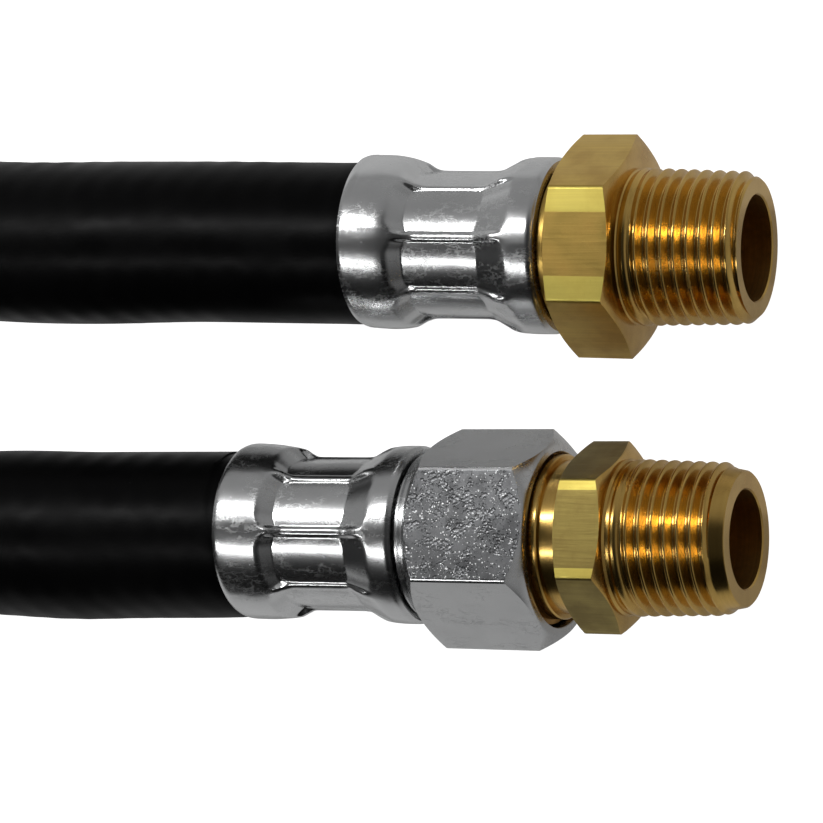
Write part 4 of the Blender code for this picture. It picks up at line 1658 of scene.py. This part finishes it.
@dataclass
class Studio:
    """Camera, pale floor, two long strip lights and a soft surround."""

    target: tuple[float, float, float] = (0.174, -0.00325, 0.0141)
    lean: float = math.radians(23.2)
    distance: float = 0.4655
    roll: float = math.radians(0.7)
    lens: float = 144.35
    sensor_width: float = 36.0
    floor_size: float = 6.0
    floor_drop: float = 0.0002
    floor_seen: float = 1.0
    floor_glow: float = 0.155
    strip_length: float = 0.25
    strip_width: float = 0.022
    strip_side: float = 0.118
    strip_height: float = 0.249
    strip_middle: float = 0.005
    upper_power: float = 0.46
    lower_power: float = 0.175
    wall_level: float = 0.30
    arch_levels: Outline = (
        (0.0, 0.006), (0.20, 0.004), (0.28, 0.006), (0.38, 0.030), (0.62, 0.034),
        (0.76, 0.28), (1.0, 0.34),
    )

    def camera(self) -> None:
        """Set the camera where the photograph was taken from."""
        data = bpy.data.cameras.new("photo_camera")
        data.lens = self.lens
        data.sensor_width = self.sensor_width
        data.clip_start = 0.01
        made = link_object("photo_camera", data)
        back = Vector((math.sin(self.lean), 0, math.cos(self.lean)))
        right = Vector((math.cos(self.lean), 0, -math.sin(self.lean)))
        basis = Matrix((right, (0, 1, 0), back)).transposed().to_4x4()
        place = Matrix.Translation(Vector(self.target) + back * self.distance)
        made.matrix_world = place @ basis @ Matrix.Rotation(self.roll, 4, "Z")
        bpy.context.scene.camera = made

    def floor(self) -> None:
        """Lay the pale floor, evenly lit from below like a light table."""
        bm = bmesh.new()
        half = self.floor_size / 2
        bm.faces.new([bm.verts.new((x * half, y * half, -self.floor_drop))
                      for x, y in ((-1, -1), (1, -1), (1, 1), (-1, 1))])
        mesh = bpy.data.meshes.new("studio_floor")
        bm.to_mesh(mesh)
        bm.free()
        look, bench, shader = new_material("pale_floor")
        shader.inputs["Base Color"].default_value = (0.7, 0.7, 0.7, 1.0)
        shader.inputs["Roughness"].default_value = 0.9
        shader.inputs["Specular IOR Level"].default_value = 0.0
        shader.inputs["Emission Color"].default_value = (1.0, 1.0, 1.0, 1.0)
        seen = bench.place("LightPath").outputs["Is Camera Ray"]
        glow = bench.spread(seen, 0.0, 1.0, self.floor_glow, self.floor_seen)
        bench.feed(shader.inputs["Emission Strength"], glow)
        mesh.materials.append(look)
        made = link_object("studio_floor", mesh)

    def strip(self, name: str, side: float, power: float) -> None:
        """Hang one long strip light to one side of the camera.

        Args:
            name: Name of the light.
            side: 1 for the upper side of the view, -1 for the lower.
            power: Power in watts.
        """
        data = bpy.data.lights.new(name, "AREA")
        data.shape = "RECTANGLE"
        data.size = self.strip_length
        data.size_y = self.strip_width
        data.energy = power
        made = link_object(name, data)
        place = Vector((self.strip_middle, side * self.strip_side, self.strip_height))
        aim = Vector((self.strip_middle, 0.0, 0.0))
        away = (place - aim).normalized()
        along = Vector((1, 0, 0))
        basis = Matrix((along, away.cross(along), away)).transposed().to_4x4()
        made.matrix_world = Matrix.Translation(place) @ basis
        made.visible_camera = False

    def surround(self) -> None:
        """Soft surround: pale on one side and past the threads, dark overhead and beyond."""
        world = bpy.data.worlds.new("soft_surround")
        bpy.context.scene.world = world
        world.use_nodes = True
        bench = ShaderBench(world.node_tree)
        background = world.node_tree.nodes["Background"]
        toward = bench.place("TexCoord").outputs["Generated"]
        split = bench.place("SeparateXYZ", None, Vector=toward)
        lean = bench.math("ARCTAN2", split.outputs["Y"], split.outputs["Z"])
        ahead = bench.spread(split.outputs["X"], 0.68, 0.95)
        round_axis = bench.math("MULTIPLY_ADD", lean, 1 / math.pi, 0.5)
        ramp = bench.place("ValToRGB", None, Fac=round_axis)
        stops = ramp.color_ramp
        stops.interpolation = "EASE"
        while len(stops.elements) < len(self.arch_levels):
            stops.elements.new(1.0)
        for element, (place, level) in zip(stops.elements, self.arch_levels):
            element.position = place
            element.color = (level, level, level, 1.0)
        wall = bench.blend(ahead, ramp.outputs["Color"], rgba((self.wall_level,) * 3))
        seen = bench.place("LightPath").outputs["Is Camera Ray"]
        bench.feed(background.inputs["Color"], bench.blend(seen, wall, rgba((1.0, 1.0, 1.0))))
        background.inputs["Strength"].default_value = 1.0

    def build(self) -> None:
        """Set up the whole studio."""
        self.camera()
        self.floor()
        self.strip("upper_strip", 1.0, self.upper_power)
        self.strip("lower_strip", -1.0, self.lower_power)
        self.surround()
        bpy.context.scene.view_settings.view_transform = "Standard"


# Assembly


def dress(piece: bpy.types.Object, body: str, node: str) -> None:
    """Let a piece stand for a node, which is hidden, and ride on its body.

    Args:
        piece: The detailed piece.
        body: Body that it moves with.
        node: Plain node that it stands for.
    """
    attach(piece, body)
    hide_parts(node)
    log.info("%s stands for %s", piece.name, node)


def main() -> None:
    """Build the studio and every piece."""
    logging.basicConfig(level=logging.INFO, format="%(name)s: %(message)s")
    Studio().build()
    log.info("studio is set")

    effects = SharedEffects()
    rubber = RubberFinish().material(effects)
    zinc = ZincFinish().material(effects)
    grainy = GrainyGlintFinish().material(effects)
    turned = TURNED_BRASS.material(effects)
    drawn = DRAWN_BRASS.material(effects)
    # Darker brass: painted shade in hollows.
    bored_shade = BORED_SHADE_BRASS.material(effects)
    # Brighter brass: painted highlight on two flats' margins.
    margin = MARGIN_HIGHLIGHT_BRASS.material(effects)
    worn = WORN_BRASS.material(effects)
    # Near-white zinc: painted edge highlight.
    burr_highlight = BURR_HIGHLIGHT_ZINC.material(effects)

    hose, middle = HoseRun().build(rubber)
    dress(hose, HOSE_BODY, "hose")

    insert = InsertStub()
    dress(FIXED_FERRULE.build(FIXED_FRAME, zinc, insert), HOSE_BODY, "fixed_ferrule")
    dress(FixedFitting().build(FIXED_FRAME, FIXED_FERRULE.length, (turned, drawn, bored_shade, margin)),
          HOSE_BODY, "fixed_fitting")
    dress(SWIVEL_FERRULE.build(SWIVEL_FRAME, zinc, insert), HOSE_BODY, "swivel_ferrule")
    stem = SwivelStem()
    dress(stem.build(SWIVEL_FRAME, SWIVEL_FERRULE.length, zinc), HOSE_BODY, "swivel_stem")
    nut = SwivelNut()
    nut_start = SWIVEL_FERRULE.length + stem.neck_length
    dress(nut.build(SWIVEL_FRAME, nut_start, (zinc, grainy, burr_highlight)), HOSE_BODY, "swivel_nut")
    adapter = SwivelAdapter().build(SWIVEL_FRAME, nut_start + stem.body_length,
                                    nut_start + nut.length, nut.lip_length,
                                    (turned, worn, bored_shade, margin))
    dress(adapter, ADAPTER_BODY, "swivel_adapter")

    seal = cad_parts["seal_ring"]
    seal_look = SEAL_RUBBER.material(effects)
    for holder in seal.material_slots:
        holder.material = seal_look
    log.info("seal_ring keeps its own shape")


if __name__ == "__main__":
    main()
